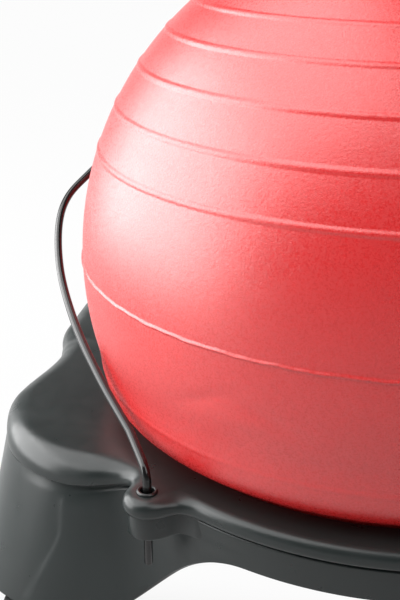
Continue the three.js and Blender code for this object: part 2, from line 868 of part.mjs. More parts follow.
function casterHousing(braked) {
  const hood = new THREE.Shape();
  hood.absarc(0, 0, hoodOuter, hoodTrailAngle, hoodStemAngle, false);
  hood.absarc(0, 0, hoodInner, hoodStemAngle, hoodTrailAngle, true);
  const web = new THREE.Shape();
  web.absarc(0, 0, webRadius, 0, Math.PI, false);
  const hub = new THREE.Shape().absarc(0, 0, hubRadius, 0, 2 * Math.PI, false);
  const hoodWidth = webWidth + 2 * (runGap + wheelWidth);
  const atAxle = (geometry) => solid(geometry.translate(0, trail, axleHeight));
  const columnHeight = housingTop - axleHeight;
  const column = block(
    [webWidth, 2 * stemBossRadius - fitGap, columnHeight],
    [0, 0, axleHeight + columnHeight / 2]);
  const stemBoss = rod(stemBossRadius, housingTop - stemBossHeight, housingTop);
  let housing = atAxle(sideExtrusion(hood, hoodWidth, hoodSteps))
    .add(atAxle(sideExtrusion(web, webWidth, hoodSteps)))
    .add(atAxle(sideExtrusion(hub, webWidth, hoodSteps)))
    .add(solid(column))
    .add(solid(stemBoss));
  const axleHole = rod(axleRadius + fitGap, -webWidth, webWidth).rotateY(Math.PI / 2);
  const pinHole = rod(pinRadius + fitGap, housingTop - pinDepth - fitGap, housingTop + cutOverrun);
  housing = housing.subtract(atAxle(axleHole)).subtract(solid(pinHole));
  if (braked) {
    const lug = new THREE.Shape().absarc(0, 0, leverBarrelRadius, 0, 2 * Math.PI, false);
    housing = housing.add(atLeverPin(sideExtrusion(lug, webWidth, hubSteps)));
    housing = housing.subtract(atLeverPin(leverPinHole()));
  }
  return housing;
}

function atLeverPin(geometry) {
  return solid(geometry.translate(
    0,
    trail + leverPinOrbit * Math.cos(leverPinAngle),
    axleHeight + leverPinOrbit * Math.sin(leverPinAngle)));
}

function leverPinHole() {
  return rod(leverPinRadius + fitGap, -leverWidth, leverWidth, hubSteps).rotateY(Math.PI / 2);
}

function brakePin() {
  const half = leverWidth / 2 - fitGap;
  const pin = rod(leverPinRadius, -half, half, hubSteps).rotateY(Math.PI / 2);
  return atLeverPin(pin);
}

function brakeLever() {
  const barrel = new THREE.Shape().absarc(0, 0, leverBarrelRadius, 0, 2 * Math.PI, false);
  const half = leverThickness / 2;
  const tab = new THREE.Shape();
  tab.moveTo(0, -half);
  tab.lineTo(leverReach, -half);
  tab.absarc(leverReach, 0, half, -Math.PI / 2, Math.PI / 2, false);
  tab.lineTo(0, half);
  const pedal = sideExtrusion(tab, leverWidth, 4).rotateX(leverLift);
  const slotReach = leverBarrelRadius + 2 * fitGap;
  const slot = block(
    [webWidth + 2 * fitGap, 2 * slotReach, 2 * slotReach],
    [0, 0, 0]);
  return atLeverPin(sideExtrusion(barrel, leverWidth, hubSteps))
    .add(atLeverPin(pedal))
    .subtract(atLeverPin(slot))
    .subtract(atLeverPin(leverPinHole()));
}

function casterStem() {
  const collar = housingTop + fitGap;
  const shank = stemShoulder;
  return turned([
    [0, housingTop - pinDepth],
    [pinRadius, housingTop - pinDepth],
    [pinRadius, collar],
    [stemCollarRadius, collar],
    [stemCollarRadius, shank],
    [stemRadius, shank],
    [stemRadius, shank + stemLength - stemCollarThickness],
    [0, shank + stemLength],
  ], smallSides);
}

function casterSocket() {
  const flange = footHeight - fitGap;
  const bore = stemRadius + fitGap;
  return turned([
    [bore, flange - socketFlangeThickness],
    [socketFlangeRadius, flange - socketFlangeThickness],
    [socketFlangeRadius, flange],
    [socketRadius, flange],
    [socketRadius, footHeight + socketLength - fitGap],
    [bore, footHeight + socketLength - fitGap],
    [bore, flange - socketFlangeThickness],
  ], roundSides);
}

function caster({ name, x, y, braked }) {
  const group = new THREE.Group();
  group.position.set(x, y, 0);
  group.rotation.z = y < 0 ? Math.PI : 0;
  group.add(
    piece(`caster_socket_${name}`, casterSocket(), socketPlastic),
    piece(`caster_stem_${name}`, casterStem(), brightSteel),
    piece(`caster_housing_${name}`, casterHousing(braked), casterPlastic));
  const axle = piece(`caster_axle_${name}`, casterAxle(), brightSteel);
  axle.position.set(0, trail, axleHeight);
  group.add(axle);
  [-1, 1].forEach((side) => {
    const wheel = piece(`caster_wheel_${name}_${side < 0 ? 'a' : 'b'}`, casterWheel(), wheelPlastic);
    wheel.position.set(side * (webWidth / 2 + runGap), trail, axleHeight);
    wheel.rotation.z = side < 0 ? Math.PI : 0;
    group.add(wheel);
  });
  if (braked) {
    group.add(
      piece(`brake_lever_${name}`, brakeLever(), casterPlastic),
      piece(`brake_pin_${name}`, brakePin(), brightSteel));
  }
  return group;
}

// Back post and lumbar support

function backPost() {
  const foot = postSocketFloor + postFloorThickness + fitGap;
  const top = new THREE.Vector3(0, Math.sin(postTilt), Math.cos(postTilt)).multiplyScalar(postLength);
  const side = (sign) => [
    new THREE.Vector3(sign * postX, postY, foot),
    new THREE.Vector3(sign * postX, postY, postBendHeight),
    new THREE.Vector3(sign * postX, postY, postBendHeight).add(top),
  ];
  const corners = [...side(-1), ...side(1).reverse()];
  const radii = [postBendRadius, postTopRadius, postTopRadius, postBendRadius];
  const shape = new THREE.Shape(polygon(postRadius, postSides));
  shape.holes.push(new THREE.Path(polygon(postRadius - postWall, postSides / 2).reverse()));
  return swept(roundedStations(corners, radii, bendStep), shape);
}

function postCollar() {
  const seat = ringTop + fitGap;
  const bore = postRadius + fitGap;
  return turned([
    [bore, seat],
    [bore + collarWall, seat],
    [bore + collarWall, seat + collarHeight / 2],
    [bore + collarWall / 2, seat + collarHeight],
    [bore, seat + collarHeight],
    [bore, seat],
  ], roundSides);
}

const plateBack = -(postRadius + runGap) - fitGap;
const plateFront = plateBack - plateThickness;
const shellBack = plateFront - shellOffset;

function sleevePlaces() {
  return [-postX, postX];
}

function backBracket() {
  let bracket = solid(block(
    [2 * postX, plateThickness, plateHeight],
    [0, (plateFront + plateBack) / 2, sleeveStation]));
  const low = sleeveStation - sleeveHeight / 2;
  const high = sleeveStation + sleeveHeight / 2;
  sleevePlaces().forEach((x) => {
    const sleeve = rod(postRadius + runGap + sleeveWall, low, high, roundSides).translate(x, 0, 0);
    const boss = rod(knobBossRadius, 0, postRadius + runGap + sleeveWall + knobBossLength / 2, 12)
      .rotateX(-Math.PI / 2).translate(x, 0, sleeveStation);
    bracket = bracket.add(solid(sleeve)).add(solid(boss));
  });
  sleevePlaces().forEach((x) => {
    const bore = rod(postRadius + runGap, low - cutOverrun, high + cutOverrun, roundSides).translate(x, 0, 0);
    const knobHole = rod(knobStemRadius + fitGap, 0, 4 * postRadius)
      .rotateX(-Math.PI / 2).translate(x, 0, sleeveStation);
    bracket = bracket.subtract(solid(bore)).subtract(solid(knobHole));
  });
  boltPlaces().forEach(([x, station]) => {
    const hole = rod(boltRadius + fitGap, plateFront - cutOverrun, plateBack + cutOverrun, hubSteps)
      .rotateX(-Math.PI / 2).translate(x, 0, station);
    bracket = bracket.subtract(solid(hole));
  });
  return bracket;
}

function boltPlaces() {
  return [-boltX, boltX].flatMap((x) => [
    [x, sleeveStation - boltSpread],
    [x, sleeveStation + boltSpread],
  ]);
}

function backBolt() {
  const tip = plateFront - shellOffset + fitGap;
  return turned([
    [0, tip],
    [boltRadius, tip],
    [boltRadius, plateBack + fitGap],
    [boltHeadRadius, plateBack + fitGap],
    [boltHeadRadius, plateBack + fitGap + boltHeadHeight / 2],
    [boltHeadRadius / 2, plateBack + fitGap + boltHeadHeight],
    [0, plateBack + fitGap + boltHeadHeight],
  ], boltSides).rotateX(-Math.PI / 2);
}

// Depth of the shell's mid-surface: wrapped forward at the sides, crowned towards the sitter
function shellDepth(x, rise) {
  const wrap = shellWrapDepth * (x / shellHalfWidth) ** 2;
  const crown = shellCrownDepth * (rise / shellHalfHeight) ** 2;
  return shellBack - wrap + crown;
}

function backShell() {
  const rings = shellRingSteps;
  const around = shellSegments;
  const positions = [];
  const index = [];
  [1, -1].forEach((face) => {
    positions.push(0, shellDepth(0, 0) + (face * shellThickness) / 2, shellStation);
    for (let ring = 1; ring <= rings; ring += 1) {
      const reach = Math.sin((ring / rings) * (Math.PI / 2));
      const edge = Math.sqrt(Math.max(1 - reach ** 8, 0)) / 2 + 1 / 2;
      for (let k = 0; k < around; k += 1) {
        const angle = (k / around) * 2 * Math.PI;
        const [cosine, sine] = [Math.cos(angle), Math.sin(angle)];
        const norm = (Math.abs(cosine) ** shellCornerExponent + Math.abs(sine) ** shellCornerExponent)
          ** (-1 / shellCornerExponent);
        const x = reach * norm * cosine * shellHalfWidth;
        const rise = reach * norm * sine * shellHalfHeight;
        positions.push(x, shellDepth(x, rise) + (face * edge * shellThickness) / 2, shellStation + rise);
      }
    }
  });
  const perFace = 1 + rings * around;
  const at = (face, ring, k) => face * perFace + (ring ? 1 + (ring - 1) * around + (k % around) : 0);
  for (let face = 0; face < 2; face += 1) {
    const facing = (a, b, c) => index.push(...(face ? [a, c, b] : [a, b, c]));
    for (let k = 0; k < around; k += 1) {
      facing(at(face, 0, 0), at(face, 1, k), at(face, 1, k + 1));
      for (let ring = 1; ring < rings; ring += 1) {
        facing(at(face, ring, k), at(face, ring + 1, k), at(face, ring + 1, k + 1));
        facing(at(face, ring, k), at(face, ring + 1, k + 1), at(face, ring, k + 1));
      }
    }
  }
  for (let k = 0; k < around; k += 1) {
    index.push(at(0, rings, k), at(1, rings, k), at(1, rings, k + 1));
    index.push(at(0, rings, k), at(1, rings, k + 1), at(0, rings, k + 1));
  }
  const geometry = new THREE.BufferGeometry();
  geometry.setAttribute('position', new THREE.Float32BufferAttribute(positions, 3));
  geometry.setIndex(index);
  const mountFront = plateFront - shellOffset;
  const mount = block(
    [2 * mountHalfWidth, shellOffset - fitGap, 2 * mountHalfHeight],
    [0, plateFront - fitGap - (shellOffset - fitGap) / 2, sleeveStation]);
  let shell = solid(geometry).add(solid(mount));
  boltPlaces().forEach(([x, station]) => {
    const hole = rod(boltRadius + fitGap, mountFront, plateFront + cutOverrun, hubSteps)
      .rotateX(-Math.PI / 2).translate(x, 0, station);
    shell = shell.subtract(solid(hole));
  });
  return shell;
}

function heightKnob() {
  const tip = postRadius + fitGap;
  const seat = postRadius + runGap + sleeveWall + knobBossLength / 2 + fitGap;
  const outline = [];
  const points = knobLobes * 4;
  for (let i = 0; i < points; i += 1) {
    const angle = (i / points) * 2 * Math.PI;
    const radius = knobRadius + knobLobe * Math.cos(knobLobes * angle);
    outline.push(new THREE.Vector2(radius * Math.cos(angle), radius * Math.sin(angle)));
  }
  const lobed = new THREE.Shape(outline);
  const grip = new THREE.ExtrudeGeometry(lobed, { depth: knobThickness, bevelEnabled: false })
    .translate(0, 0, seat);
  const stem = rod(knobStemRadius, tip, seat + knobThickness / 2);
  return surface(solid(grip).add(solid(stem))).rotateX(-Math.PI / 2);
}

function backSupport() {
  const group = new THREE.Group();
  group.position.set(0, postY, postBendHeight);
  group.rotation.x = -postTilt;
  group.add(
    piece('back_bracket', backBracket(), casterPlastic),
    piece('back_shell', backShell(), basePlastic));
  boltPlaces().forEach(([x, station], i) => {
    const bolt = piece(`back_bolt_${i + 1}`, backBolt(), brightSteel);
    bolt.position.set(x, 0, station);
    group.add(bolt);
  });
  sleevePlaces().forEach((x) => {
    const knob = piece(`height_knob_${x < 0 ? 'left' : 'right'}`, heightKnob(), casterPlastic);
    knob.position.set(x, 0, sleeveStation);
    group.add(knob);
  });
  return group;
}

// Assembly

const chair = new THREE.Group();
chair.add(
  piece('base_cover', baseCover(), basePlastic),
  piece('base_frame', baseFrame(), basePlastic),
  piece('ball', ballShell(), ballVinyl),
  piece('ball_plug', ballPlug(), ballVinyl),
  piece('retaining_bar', retainingBar(), barSteel),
  piece('back_post', backPost(), postSteel));
[-1, 1].forEach((side) => {
  const hand = side < 0 ? 'left' : 'right';
  const eyelet = piece(`bar_eyelet_${hand}`, barEyelet(), socketPlastic);
  eyelet.position.set(side * bossX, bossY, 0);
  const collar = piece(`post_collar_${hand}`, postCollar(), socketPlastic);
  collar.position.set(side * postX, postY, 0);
  chair.add(eyelet, collar);
});
casterPlaces.forEach((place) => chair.add(caster(place)));
chair.add(backSupport());

// The origin lies on the floor under the middle of the whole chair
const extent = new THREE.Box3().setFromObject(chair, true);
chair.position.y = -(extent.min.y + extent.max.y) / 2;

const model = new THREE.Group();
model.add(chair);

export default model;
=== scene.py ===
import math

import bpy
import numpy as np
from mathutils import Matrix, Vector


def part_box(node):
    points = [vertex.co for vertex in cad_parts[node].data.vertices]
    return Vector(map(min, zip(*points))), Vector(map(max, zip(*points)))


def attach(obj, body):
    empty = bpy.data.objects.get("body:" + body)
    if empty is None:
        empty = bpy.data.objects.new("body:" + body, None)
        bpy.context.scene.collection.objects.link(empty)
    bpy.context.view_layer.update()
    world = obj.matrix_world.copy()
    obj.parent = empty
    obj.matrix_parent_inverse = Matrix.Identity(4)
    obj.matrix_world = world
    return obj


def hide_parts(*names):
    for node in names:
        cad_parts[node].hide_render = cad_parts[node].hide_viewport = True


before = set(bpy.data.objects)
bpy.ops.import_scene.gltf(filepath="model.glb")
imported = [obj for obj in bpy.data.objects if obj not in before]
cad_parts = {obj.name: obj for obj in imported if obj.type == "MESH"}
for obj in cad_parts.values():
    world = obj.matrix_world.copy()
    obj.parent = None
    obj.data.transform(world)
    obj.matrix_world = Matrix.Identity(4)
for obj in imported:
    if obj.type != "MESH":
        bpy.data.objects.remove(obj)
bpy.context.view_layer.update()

# Balance ball chair. Sizes are in millimetres in the chair's own frame, with the ball's axis at
# x = 0, y = 0 and the front towards -Y. Every mesh is written in metres in the row frame.
MM = 0.001
ball_low, ball_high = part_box("ball")
SHIFT = np.array([0.0, (ball_low.y + ball_high.y) / 2 / MM, 0.0])

FIT_GAP = 0.3
RUN_GAP = 0.5
# Edges sharper than this many degrees stay sharp in the shading
SHARP_ANGLE = 35
HANDS = ((-1, "left"), (1, "right"))

BALL_RADIUS, BALL_CENTRE = 260, 312
# Latitudes and rises of the raised rings, and half widths of a ring and the seam in degrees
RIDGES = (-19.5, 19.5, 27.4, 35.2, 42.7, 49.4)
RIDGE_RISES = (0.3, 0.85, 0.85, 0.8, 0.75, 0.7)
SEAM_RISE = 1.1
RIDGE_HALF, SEAM_HALF = 0.62, 0.22
# Soft creases in the film above the lip: latitude, longitude, half length and width, slant, depth
CREASES = ((-8.6, -29.5, 5.5, 1.1, 0.44, 0.8), (-9.2, -18.6, 5.5, 1.2, -0.39, 0.9),
           (-10.9, -23.5, 5, 1.4, 0.1, -0.6), (-16, 148, 7, 1.3, 0.3, 0.7))
BULGE, PINCH = 5, 10
# Degrees above the seat where the film swells over the lip and is drawn in by it
BULGE_TOP, BULGE_FOOT, PINCH_DEGREES = 16, -2.5, 4.5
MERIDIANS = 720

RING_RADIUS = 250.04
RING_TOP, RING_EDGE, PAD_EDGE = 184, 170, 162
BAND_BOTTOM, BOSS_BOTTOM, FOOT = 142, 152, 58.02
COVER_WALL, LIP_WALL, LIP_ROUND, SEAT_DEPTH = 3, 2.6, 2.2, 12
RING_BEAD, PAD_BEAD = 4.5, 1.2
FRAME_INSET, FRAME_WALL, FOOT_ROUND = 3.5, 3.2, 1
RING_SHOULDER, PAD_SHOULDER = 8, 20
LEG_FLARE, RING_DRAFT = 22, 3
# The frame steps in under the cover's edge, and fills out again this far below it
STEP_IN, RING_STEP, PAD_STEP = 2.4, 2.2, 10
# On the flanks it comes out almost to the cover's face, fading in between these azimuths
FLANK_RISE, FLANK_TURNS = 3, (50, 66)
# The raised panel on each front leg: its side edge, which spreads below a height, and its top
PANEL_SIDE, PANEL_KNEE, PANEL_SPREAD, PANEL_TOP = 247, 120, 0.52, 155
PANEL_RISE, PANEL_SOFT, PANEL_REAR, PANEL_FADE = 1, 1.4, -120, (90, 140)
RIB, LEG_RIB, POST_RIB, RIB_RECESS = 3, 130, 100, 6
# A web ends where it would be lower than this, and so does a column
LEAST_RIB, LEAST_COLUMN = 2, 5
# Rounded boxes of the plan: half width, front, rear and corner radius
FRONT_PAD = (317.04, -170.04, 29.96, 100)
REAR_PAD = (322.04, 40, 222.04, 60)
WAIST = (309.04, -70, 70, 20)
POST_PAD = (132, 0, 294.86, 34)
BOSS_X, BOSS_Y, BOSS_RADIUS = 171.13, -201.08, 18
# How softly they run into each other
RING_BLEND, SIDE_BLEND, WAIST_BLEND, BOSS_BLEND = 24, 40, 20, 26
# Azimuths in degrees between which the ring passes into the pads, and back
PAD_START, PAD_END = (46, 56), (150, 160)
# Arches: azimuth of the middle, and half widths of the flat top and of the foot, in degrees
ARCHES = ((0, 23.5, 48.5), (92, 4, 16), (-92, 4, 16), (180, 12, 40))
INNER_ARCH = 1.2
# Degrees between stations round the base, twice as close over the bosses and front corners
STATION_STEP, CLOSE_START, CLOSE_END = 0.5, 29, 56
# A boss block's half width in degrees, and where its ends start to sink into the frame
BOSS_TURN, BOSS_FADE, BOSS_SINK = 11, (7, 10.5), 5

BAR_RADIUS, BAR_FOOT, BAR_BEND = 3.25, 124, 200
BAR_SLOPE = math.radians(26)
BAR_BEND_RADIUS = 16
EYELET_HOLE = 6.6
# The bar's hole: radius, foot, segments, x and y
BAR_DRILL = (BAR_RADIUS + FIT_GAP, 140, 40, BOSS_X, BOSS_Y)
# Half of the bar's loop, as shares of the ball's radius to the side and back
BAR_LOOP = ((0.731, 0.128), (0.86, 0.311), (0.988, 0.523), (1.093, 0.757), (1.148, 0.98),
            (1.146, 1.095), (1.108, 1.2), (0.995, 1.42), (0.79, 1.65), (0.43, 1.848), (0, 1.915))

POST_X, POST_Y, POST_RADIUS, POST_WALL = 105, 267.86, 11, 1.5
POST_FOOT, POST_BEND = 100.3, 300
POST_TILT = math.radians(12)
POST_SOCKET_FOOT, POST_SOCKET_WALL, POST_SOCKET_FLOOR = 96, 7, 4
POST_BORE = POST_RADIUS + RUN_GAP
POST_LENGTH, POST_BEND_RADIUS, POST_TOP_RADIUS = 462, 150, 30

# Heights of the bracket and the shell above the post's bend, along the post
SLEEVE, SHELL = 348, 383
SLEEVE_WALL, SLEEVE_HALF, KNOB_BOSS = 4.4, 30, 4.5
PLATE_BACK = -POST_BORE - FIT_GAP
PLATE_FRONT = PLATE_BACK - 6
SHELL_BACK = PLATE_FRONT - 15
SHELL_MOUNT = 14.7
SHELL_HALF_WIDTH, SHELL_HALF_HEIGHT = 170, 85
BOLTS = ((-45, -12), (-45, 12), (45, -12), (45, 12))
KNOB_RADIUS, KNOB_LOBE, KNOB_LOBES, KNOB_STEPS = 16, 1.6, 7, 140

CASTERS = (("front_left", -275.04, -140.04, True), ("front_right", 275.04, -140.04, True),
           ("rear_left", -272.04, 180.04, False), ("rear_right", 272.04, 180.04, False))
WHEEL_RADIUS, WHEEL_WIDTH, WEB_WIDTH, TRAIL = 24.52, 17, 12, 20
HOUSING_TOP = 53.5
HOOD_RADIUS, HOOD_INNER, WEB_RADIUS, HUB_RADIUS, NECK_DEPTH = 29, 26.4, 27.5, 9, 17.7
HOOD_START, HOOD_END = math.radians(28), math.radians(188)
PIN_REACH, PIN_TURN, PIN_BARREL = 29.4, math.radians(14), 3.4
BRAKE_PIN = (TRAIL + PIN_REACH * math.cos(PIN_TURN), WHEEL_RADIUS + PIN_REACH * math.sin(PIN_TURN))
PEDAL_WIDTH, PEDAL_LENGTH, PEDAL_HALF, PEDAL_LIFT = 44, 17, 1.4, math.radians(10)
PEDAL_BARREL = 15.4
SOCKET_RADIUS, SOCKET_LENGTH, LEG_COLUMN = 8, 38, 15


# Shapes: a shape is (points, faces), with the points in millimetres

def full_turn(steps):
    return np.arange(steps) * (2 * math.pi / steps)


def lathe(profile, segments):
    """Closed solid of revolution about +Z from (radius, height) pairs; a radius of 0 is a pole."""
    turns = full_turn(segments)
    points, rows = [], []
    for radius, height in profile:
        if radius == 0:
            rows.append([len(points)] * segments)
            points.append((0.0, 0.0, height))
        else:
            first = len(points)
            points.extend((radius * math.cos(t), radius * math.sin(t), height) for t in turns)
            rows.append(list(range(first, first + segments)))
    faces = []
    closed = profile[0][0] > 0 or profile[-1][0] > 0
    pairs = list(zip(rows, rows[1:])) + ([(rows[-1], rows[0])] if closed else [])
    for a, b in pairs:
        for i in range(segments):
            j = (i + 1) % segments
            corners = [a[i], a[j], b[j], b[i]]
            kept = [c for k, c in enumerate(corners) if c != corners[k - 1]]
            if len(kept) > 2:
                faces.append(kept)
    return np.array(points), faces


def loft(rows, closed_rows=True, closed_ring=True):
    """Quads over a grid of points, shaped (rows, stations, 3)."""
    count, stations = rows.shape[:2]
    faces = []
    for k in range(count if closed_rows else count - 1):
        n = (k + 1) % count
        for i in range(stations if closed_ring else stations - 1):
            j = (i + 1) % stations
            faces.append((k * stations + i, k * stations + j, n * stations + j, n * stations + i))
    return rows.reshape(-1, 3), faces


def capped(rows):
    """A loft of closed rings, with its first and last rings filled."""
    points, faces = loft(rows, closed_rows=False)
    sides = rows.shape[1]
    faces.append(range(sides))
    faces.append(range(len(points) - 1, len(points) - sides - 1, -1))
    return points, faces


def sector(rows):
    """A loft over part of the ring, with its two ends closed."""
    points, faces = loft(rows, closed_ring=False)
    count, stations = rows.shape[:2]
    faces.append([k * stations for k in range(count)])
    faces.append([k * stations + stations - 1 for k in reversed(range(count))])
    return points, faces


def box(size, centre):
    corners = [(x, y, z) for x in (-0.5, 0.5) for y in (-0.5, 0.5) for z in (-0.5, 0.5)]
    points = np.array(corners) * size + centre
    return points, [(0, 1, 3, 2), (4, 6, 7, 5), (0, 4, 5, 1), (2, 3, 7, 6), (0, 2, 6, 4),
                    (1, 5, 7, 3)]


def prism(outline, depth, start):
    """Extrudes an outline of (x, y) pairs along +Z."""
    n = len(outline)
    points = [(x, y, z) for z in (start, start + depth) for x, y in outline]
    faces = [tuple(reversed(range(n))), tuple(range(n, 2 * n))]
    faces += [(i, (i + 1) % n, n + (i + 1) % n, n + i) for i in range(n)]
    return np.array(points), faces


def side_prism(outline, width):
    """Extrudes an outline of (y, z) pairs along X, centred on x = 0."""
    points, faces = prism(outline, width, -width / 2)
    return points[:, [2, 0, 1]], faces


def arc(radius, start, end, steps, centre):
    turns = np.linspace(start, end, steps + 1)
    return [(centre[0] + radius * math.cos(t), centre[1] + radius * math.sin(t)) for t in turns]


def turned(shape, axis, angle):
    points, faces = shape
    c, s = math.cos(angle), math.sin(angle)
    matrix = {"X": [[1, 0, 0], [0, c, -s], [0, s, c]],
              "Y": [[c, 0, s], [0, 1, 0], [-s, 0, c]],
              "Z": [[c, -s, 0], [s, c, 0], [0, 0, 1]]}[axis]
    return points @ np.array(matrix).T, faces


def moved(shape, x, y=0.0, z=0.0):
    return shape[0] + (x, y, z), shape[1]


def row(x, y, z):
    """A row of points from its coordinates, as arrays or single values."""
    return np.stack(np.broadcast_arrays(x, y, z), axis=-1)


def unit(vector):
    return vector / np.linalg.norm(vector)


def joined(*shapes):
    points, faces, first = [], [], 0
    for p, f in shapes:
        points.append(p)
        faces.extend([tuple(c + first for c in face) for face in f])
        first += len(p)
    return np.concatenate(points), faces


def sweep(path, radius, sides, inner=0.0, round_end=0.0):
    """A round bar or tube along a path of points, with closed or hollow ends."""
    path = np.array(path, float)
    tangents = np.gradient(path, axis=0)
    tangents /= np.linalg.norm(tangents, axis=1)[:, None]
    # Any direction off the path gives the first ring its start
    side = unit(np.cross(tangents[0], [0.31, 0.52, 0.8]))
    frames = []
    for t in tangents:
        side = unit(side - t * (side @ t))
        frames.append((side, np.cross(t, side)))
    turns = full_turn(sides)

    def ring(i, r, along=0.0):
        u, v = frames[i]
        return [path[i] + tangents[i] * along + r * (math.cos(t) * u + math.sin(t) * v)
                for t in turns]

    last = len(path) - 1
    shift = {0: round_end, last: -round_end}
    rows = [ring(i, radius, shift.get(i, 0)) for i in range(last + 1)]
    if round_end:
        near, far = radius - round_end, radius - 0.3 * round_end
        rows = [ring(0, near), ring(0, far, 0.3 * round_end), *rows,
                ring(last, far, -0.3 * round_end), ring(last, near)]
    if inner:
        rows += [ring(i, inner) for i in range(last, -1, -1)]
        return loft(np.array(rows))
    return capped(np.array(rows))


# Objects

def volume_sign(points, faces):
    total = 0.0
    for face in faces:
        a = points[face[0]]
        for k in range(1, len(face) - 1):
            total += a @ np.cross(points[face[k]], points[face[k + 1]])
    return total


def linked(name, data):
    """A new object in the scene."""
    thing = bpy.data.objects.new(name, data)
    bpy.context.scene.collection.objects.link(thing)
    return thing


def make(name, shape, material, sharp_angle=SHARP_ANGLE):
    """A mesh object in the row frame, with its faces pointing out."""
    points, faces = shape
    if volume_sign(points, faces) < 0:
        faces = [tuple(reversed(face)) for face in faces]
    mesh = bpy.data.meshes.new(name)
    mesh.from_pydata(((points + SHIFT) * MM).tolist(), [], faces)
    mesh.update()
    mesh.materials.append(material)
    thing = linked(name, mesh)
    shade(thing, sharp_angle)
    return thing


def shade(thing, sharp_angle):
    thing.data.shade_smooth()
    thing.data.set_sharp_from_angle(angle=math.radians(sharp_angle))


def applied(thing):
    """Bakes the modifiers of an object into its mesh."""
    graph = bpy.context.evaluated_depsgraph_get()
    mesh = bpy.data.meshes.new_from_object(thing.evaluated_get(graph))
    thing.modifiers.clear()
    thing.data = mesh
    shade(thing, SHARP_ANGLE)
    return thing


def rounded(thing, width, segments, limit=40.0):
    """Rounds the hard edges of a moulded or machined piece."""
    bevel = thing.modifiers.new("edge", "BEVEL")
    bevel.width = width * MM
    bevel.segments = segments
    bevel.limit_method = "ANGLE"
    bevel.angle_limit = math.radians(limit)
    return applied(thing)


def bored(thing, sides, *drills):
    """Cuts round holes up through a piece; a drill is (radius, foot, segments, x, y)."""
    top = RING_TOP + 6
    holes = []
    for side in sides:
        for radius, foot, segments, x, y in drills:
            hole = lathe([(0, foot), (radius, foot), (radius, top), (0, top)], segments)
            holes.append(moved(hole, side * x, y))
    cutter = make(f"{thing.name}_cutter", joined(*holes), thing.data.materials[0])
    cut = thing.modifiers.new("hole", "BOOLEAN")
    cut.operation = "DIFFERENCE"
    cut.solver = "EXACT"
    cut.object = cutter
    applied(thing)
    bpy.data.objects.remove(cutter)


def fitted(thing, body, slot, *nodes):
    """The piece rides its body and stands for its CAD nodes, which are hidden; slot is not used."""
    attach(thing, body)
    if nodes:
        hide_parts(*nodes)


# Materials

def principled(name, colour, roughness, metallic=0.0, specular=0.5, ior=1.5):
    material = bpy.data.materials.new(name)
    material.use_nodes = True
    shader = material.node_tree.nodes["Principled BSDF"]
    shader.inputs["Base Color"].default_value = (*colour, 1)
    shader.inputs["Roughness"].default_value = roughness
    shader.inputs["Metallic"].default_value = metallic
    shader.inputs["Specular IOR Level"].default_value = specular
    shader.inputs["IOR"].default_value = ior
    return material, shader


def added(tree, kind, inputs):
    """A new node; each input gets a value or the output that leads into it."""
    node = tree.nodes.new(kind)
    for key, value in inputs.items():
        if isinstance(value, bpy.types.NodeSocket):
            tree.links.new(value, node.inputs[key])
        else:
            node.inputs[key].default_value = value
    return node


def noise(tree, scale, detail, roughness=0.5):
    place = tree.nodes.get("Texture Coordinate") or tree.nodes.new("ShaderNodeTexCoord")
    return added(tree, "ShaderNodeTexNoise", {
        "Vector": place.outputs["Object"], "Scale": scale, "Detail": detail,
        "Roughness": roughness}).outputs[0]


def ramp(tree, source, start, end, low, high, kind="LINEAR"):
    """A change from low to high as the source goes from start to end."""
    fade = added(tree, "ShaderNodeMapRange", {
        "Value": source, "From Min": start, "From Max": end, "To Min": low, "To Max": high})
    fade.interpolation_type = kind
    return fade.outputs[0]


def spread(tree, source, low, high):
    """Maps a noise, which mostly stays between 0.3 and 0.7, to a range."""
    return ramp(tree, source, 0.3, 0.7, low, high)


def surface(name, colour, roughness, flow, shades, gloss, levels, layers, **sockets):
    """A material with noises in its colour, its gloss and its bumps.

    The noise called flow varies the colour between two shades of it, the one called gloss
    varies the roughness between two levels, and each layer is (noise, strength, distance in mm).
    """
    material, shader = principled(name, colour, roughness, **sockets)
    tree = material.node_tree
    mix = tree.nodes.new("ShaderNodeMix")
    mix.data_type = "RGBA"
    for socket, factor in zip("AB", shades):
        mix.inputs[socket].default_value = (*[c * factor for c in colour], 1)
    tree.links.new(spread(tree, noise(tree, *flow), 0, 1), mix.inputs["Factor"])
    tree.links.new(mix.outputs["Result"], shader.inputs["Base Color"])
    tree.links.new(spread(tree, noise(tree, *gloss), *levels), shader.inputs["Roughness"])
    below = {}
    for grain, strength, distance in layers:
        bump = added(tree, "ShaderNodeBump", {
            "Strength": strength, "Distance": distance * MM, "Height": noise(tree, *grain),
            **below})
        below = {"Normal": bump.outputs["Normal"]}
    tree.links.new(below["Normal"], shader.inputs["Normal"])
    return material


def plastic(name, colour, roughness, grain=1400, strength=0.25, ior=1.5):
    """Moulded plastic: fine grain, faint flow in the colour and slightly uneven gloss."""
    levels = (roughness - 0.04, roughness + 0.04)
    return surface(name, colour, roughness, (14, 3), (0.9, 1.1), (60, 4), levels,
                   [((grain, 2), strength, 0.12)], ior=ior)


def vinyl(name):
    """Soft ball vinyl: waxy, with a fine grain that breaks the highlights into sparkles."""
    return surface(name, (0.58, 0.012, 0.013), 0.38, (9, 3), (0.95, 1.05), (600, 3, 0.7),
                   (0.18, 0.42), [((520, 3, 0.8), 1.0, 0.32), ((45, 2), 0.2, 0.3)],
                   specular=1.0, ior=1.52)


def paint(name, colour, roughness, peel=0.12):
    """Sprayed paint on steel: glossy, with slight orange peel."""
    levels = (roughness - 0.03, roughness + 0.03)
    return surface(name, colour, roughness, (30, 3), (0.92, 1.08), (120, 3), levels,
                   [((500, 2), peel, 0.06)])


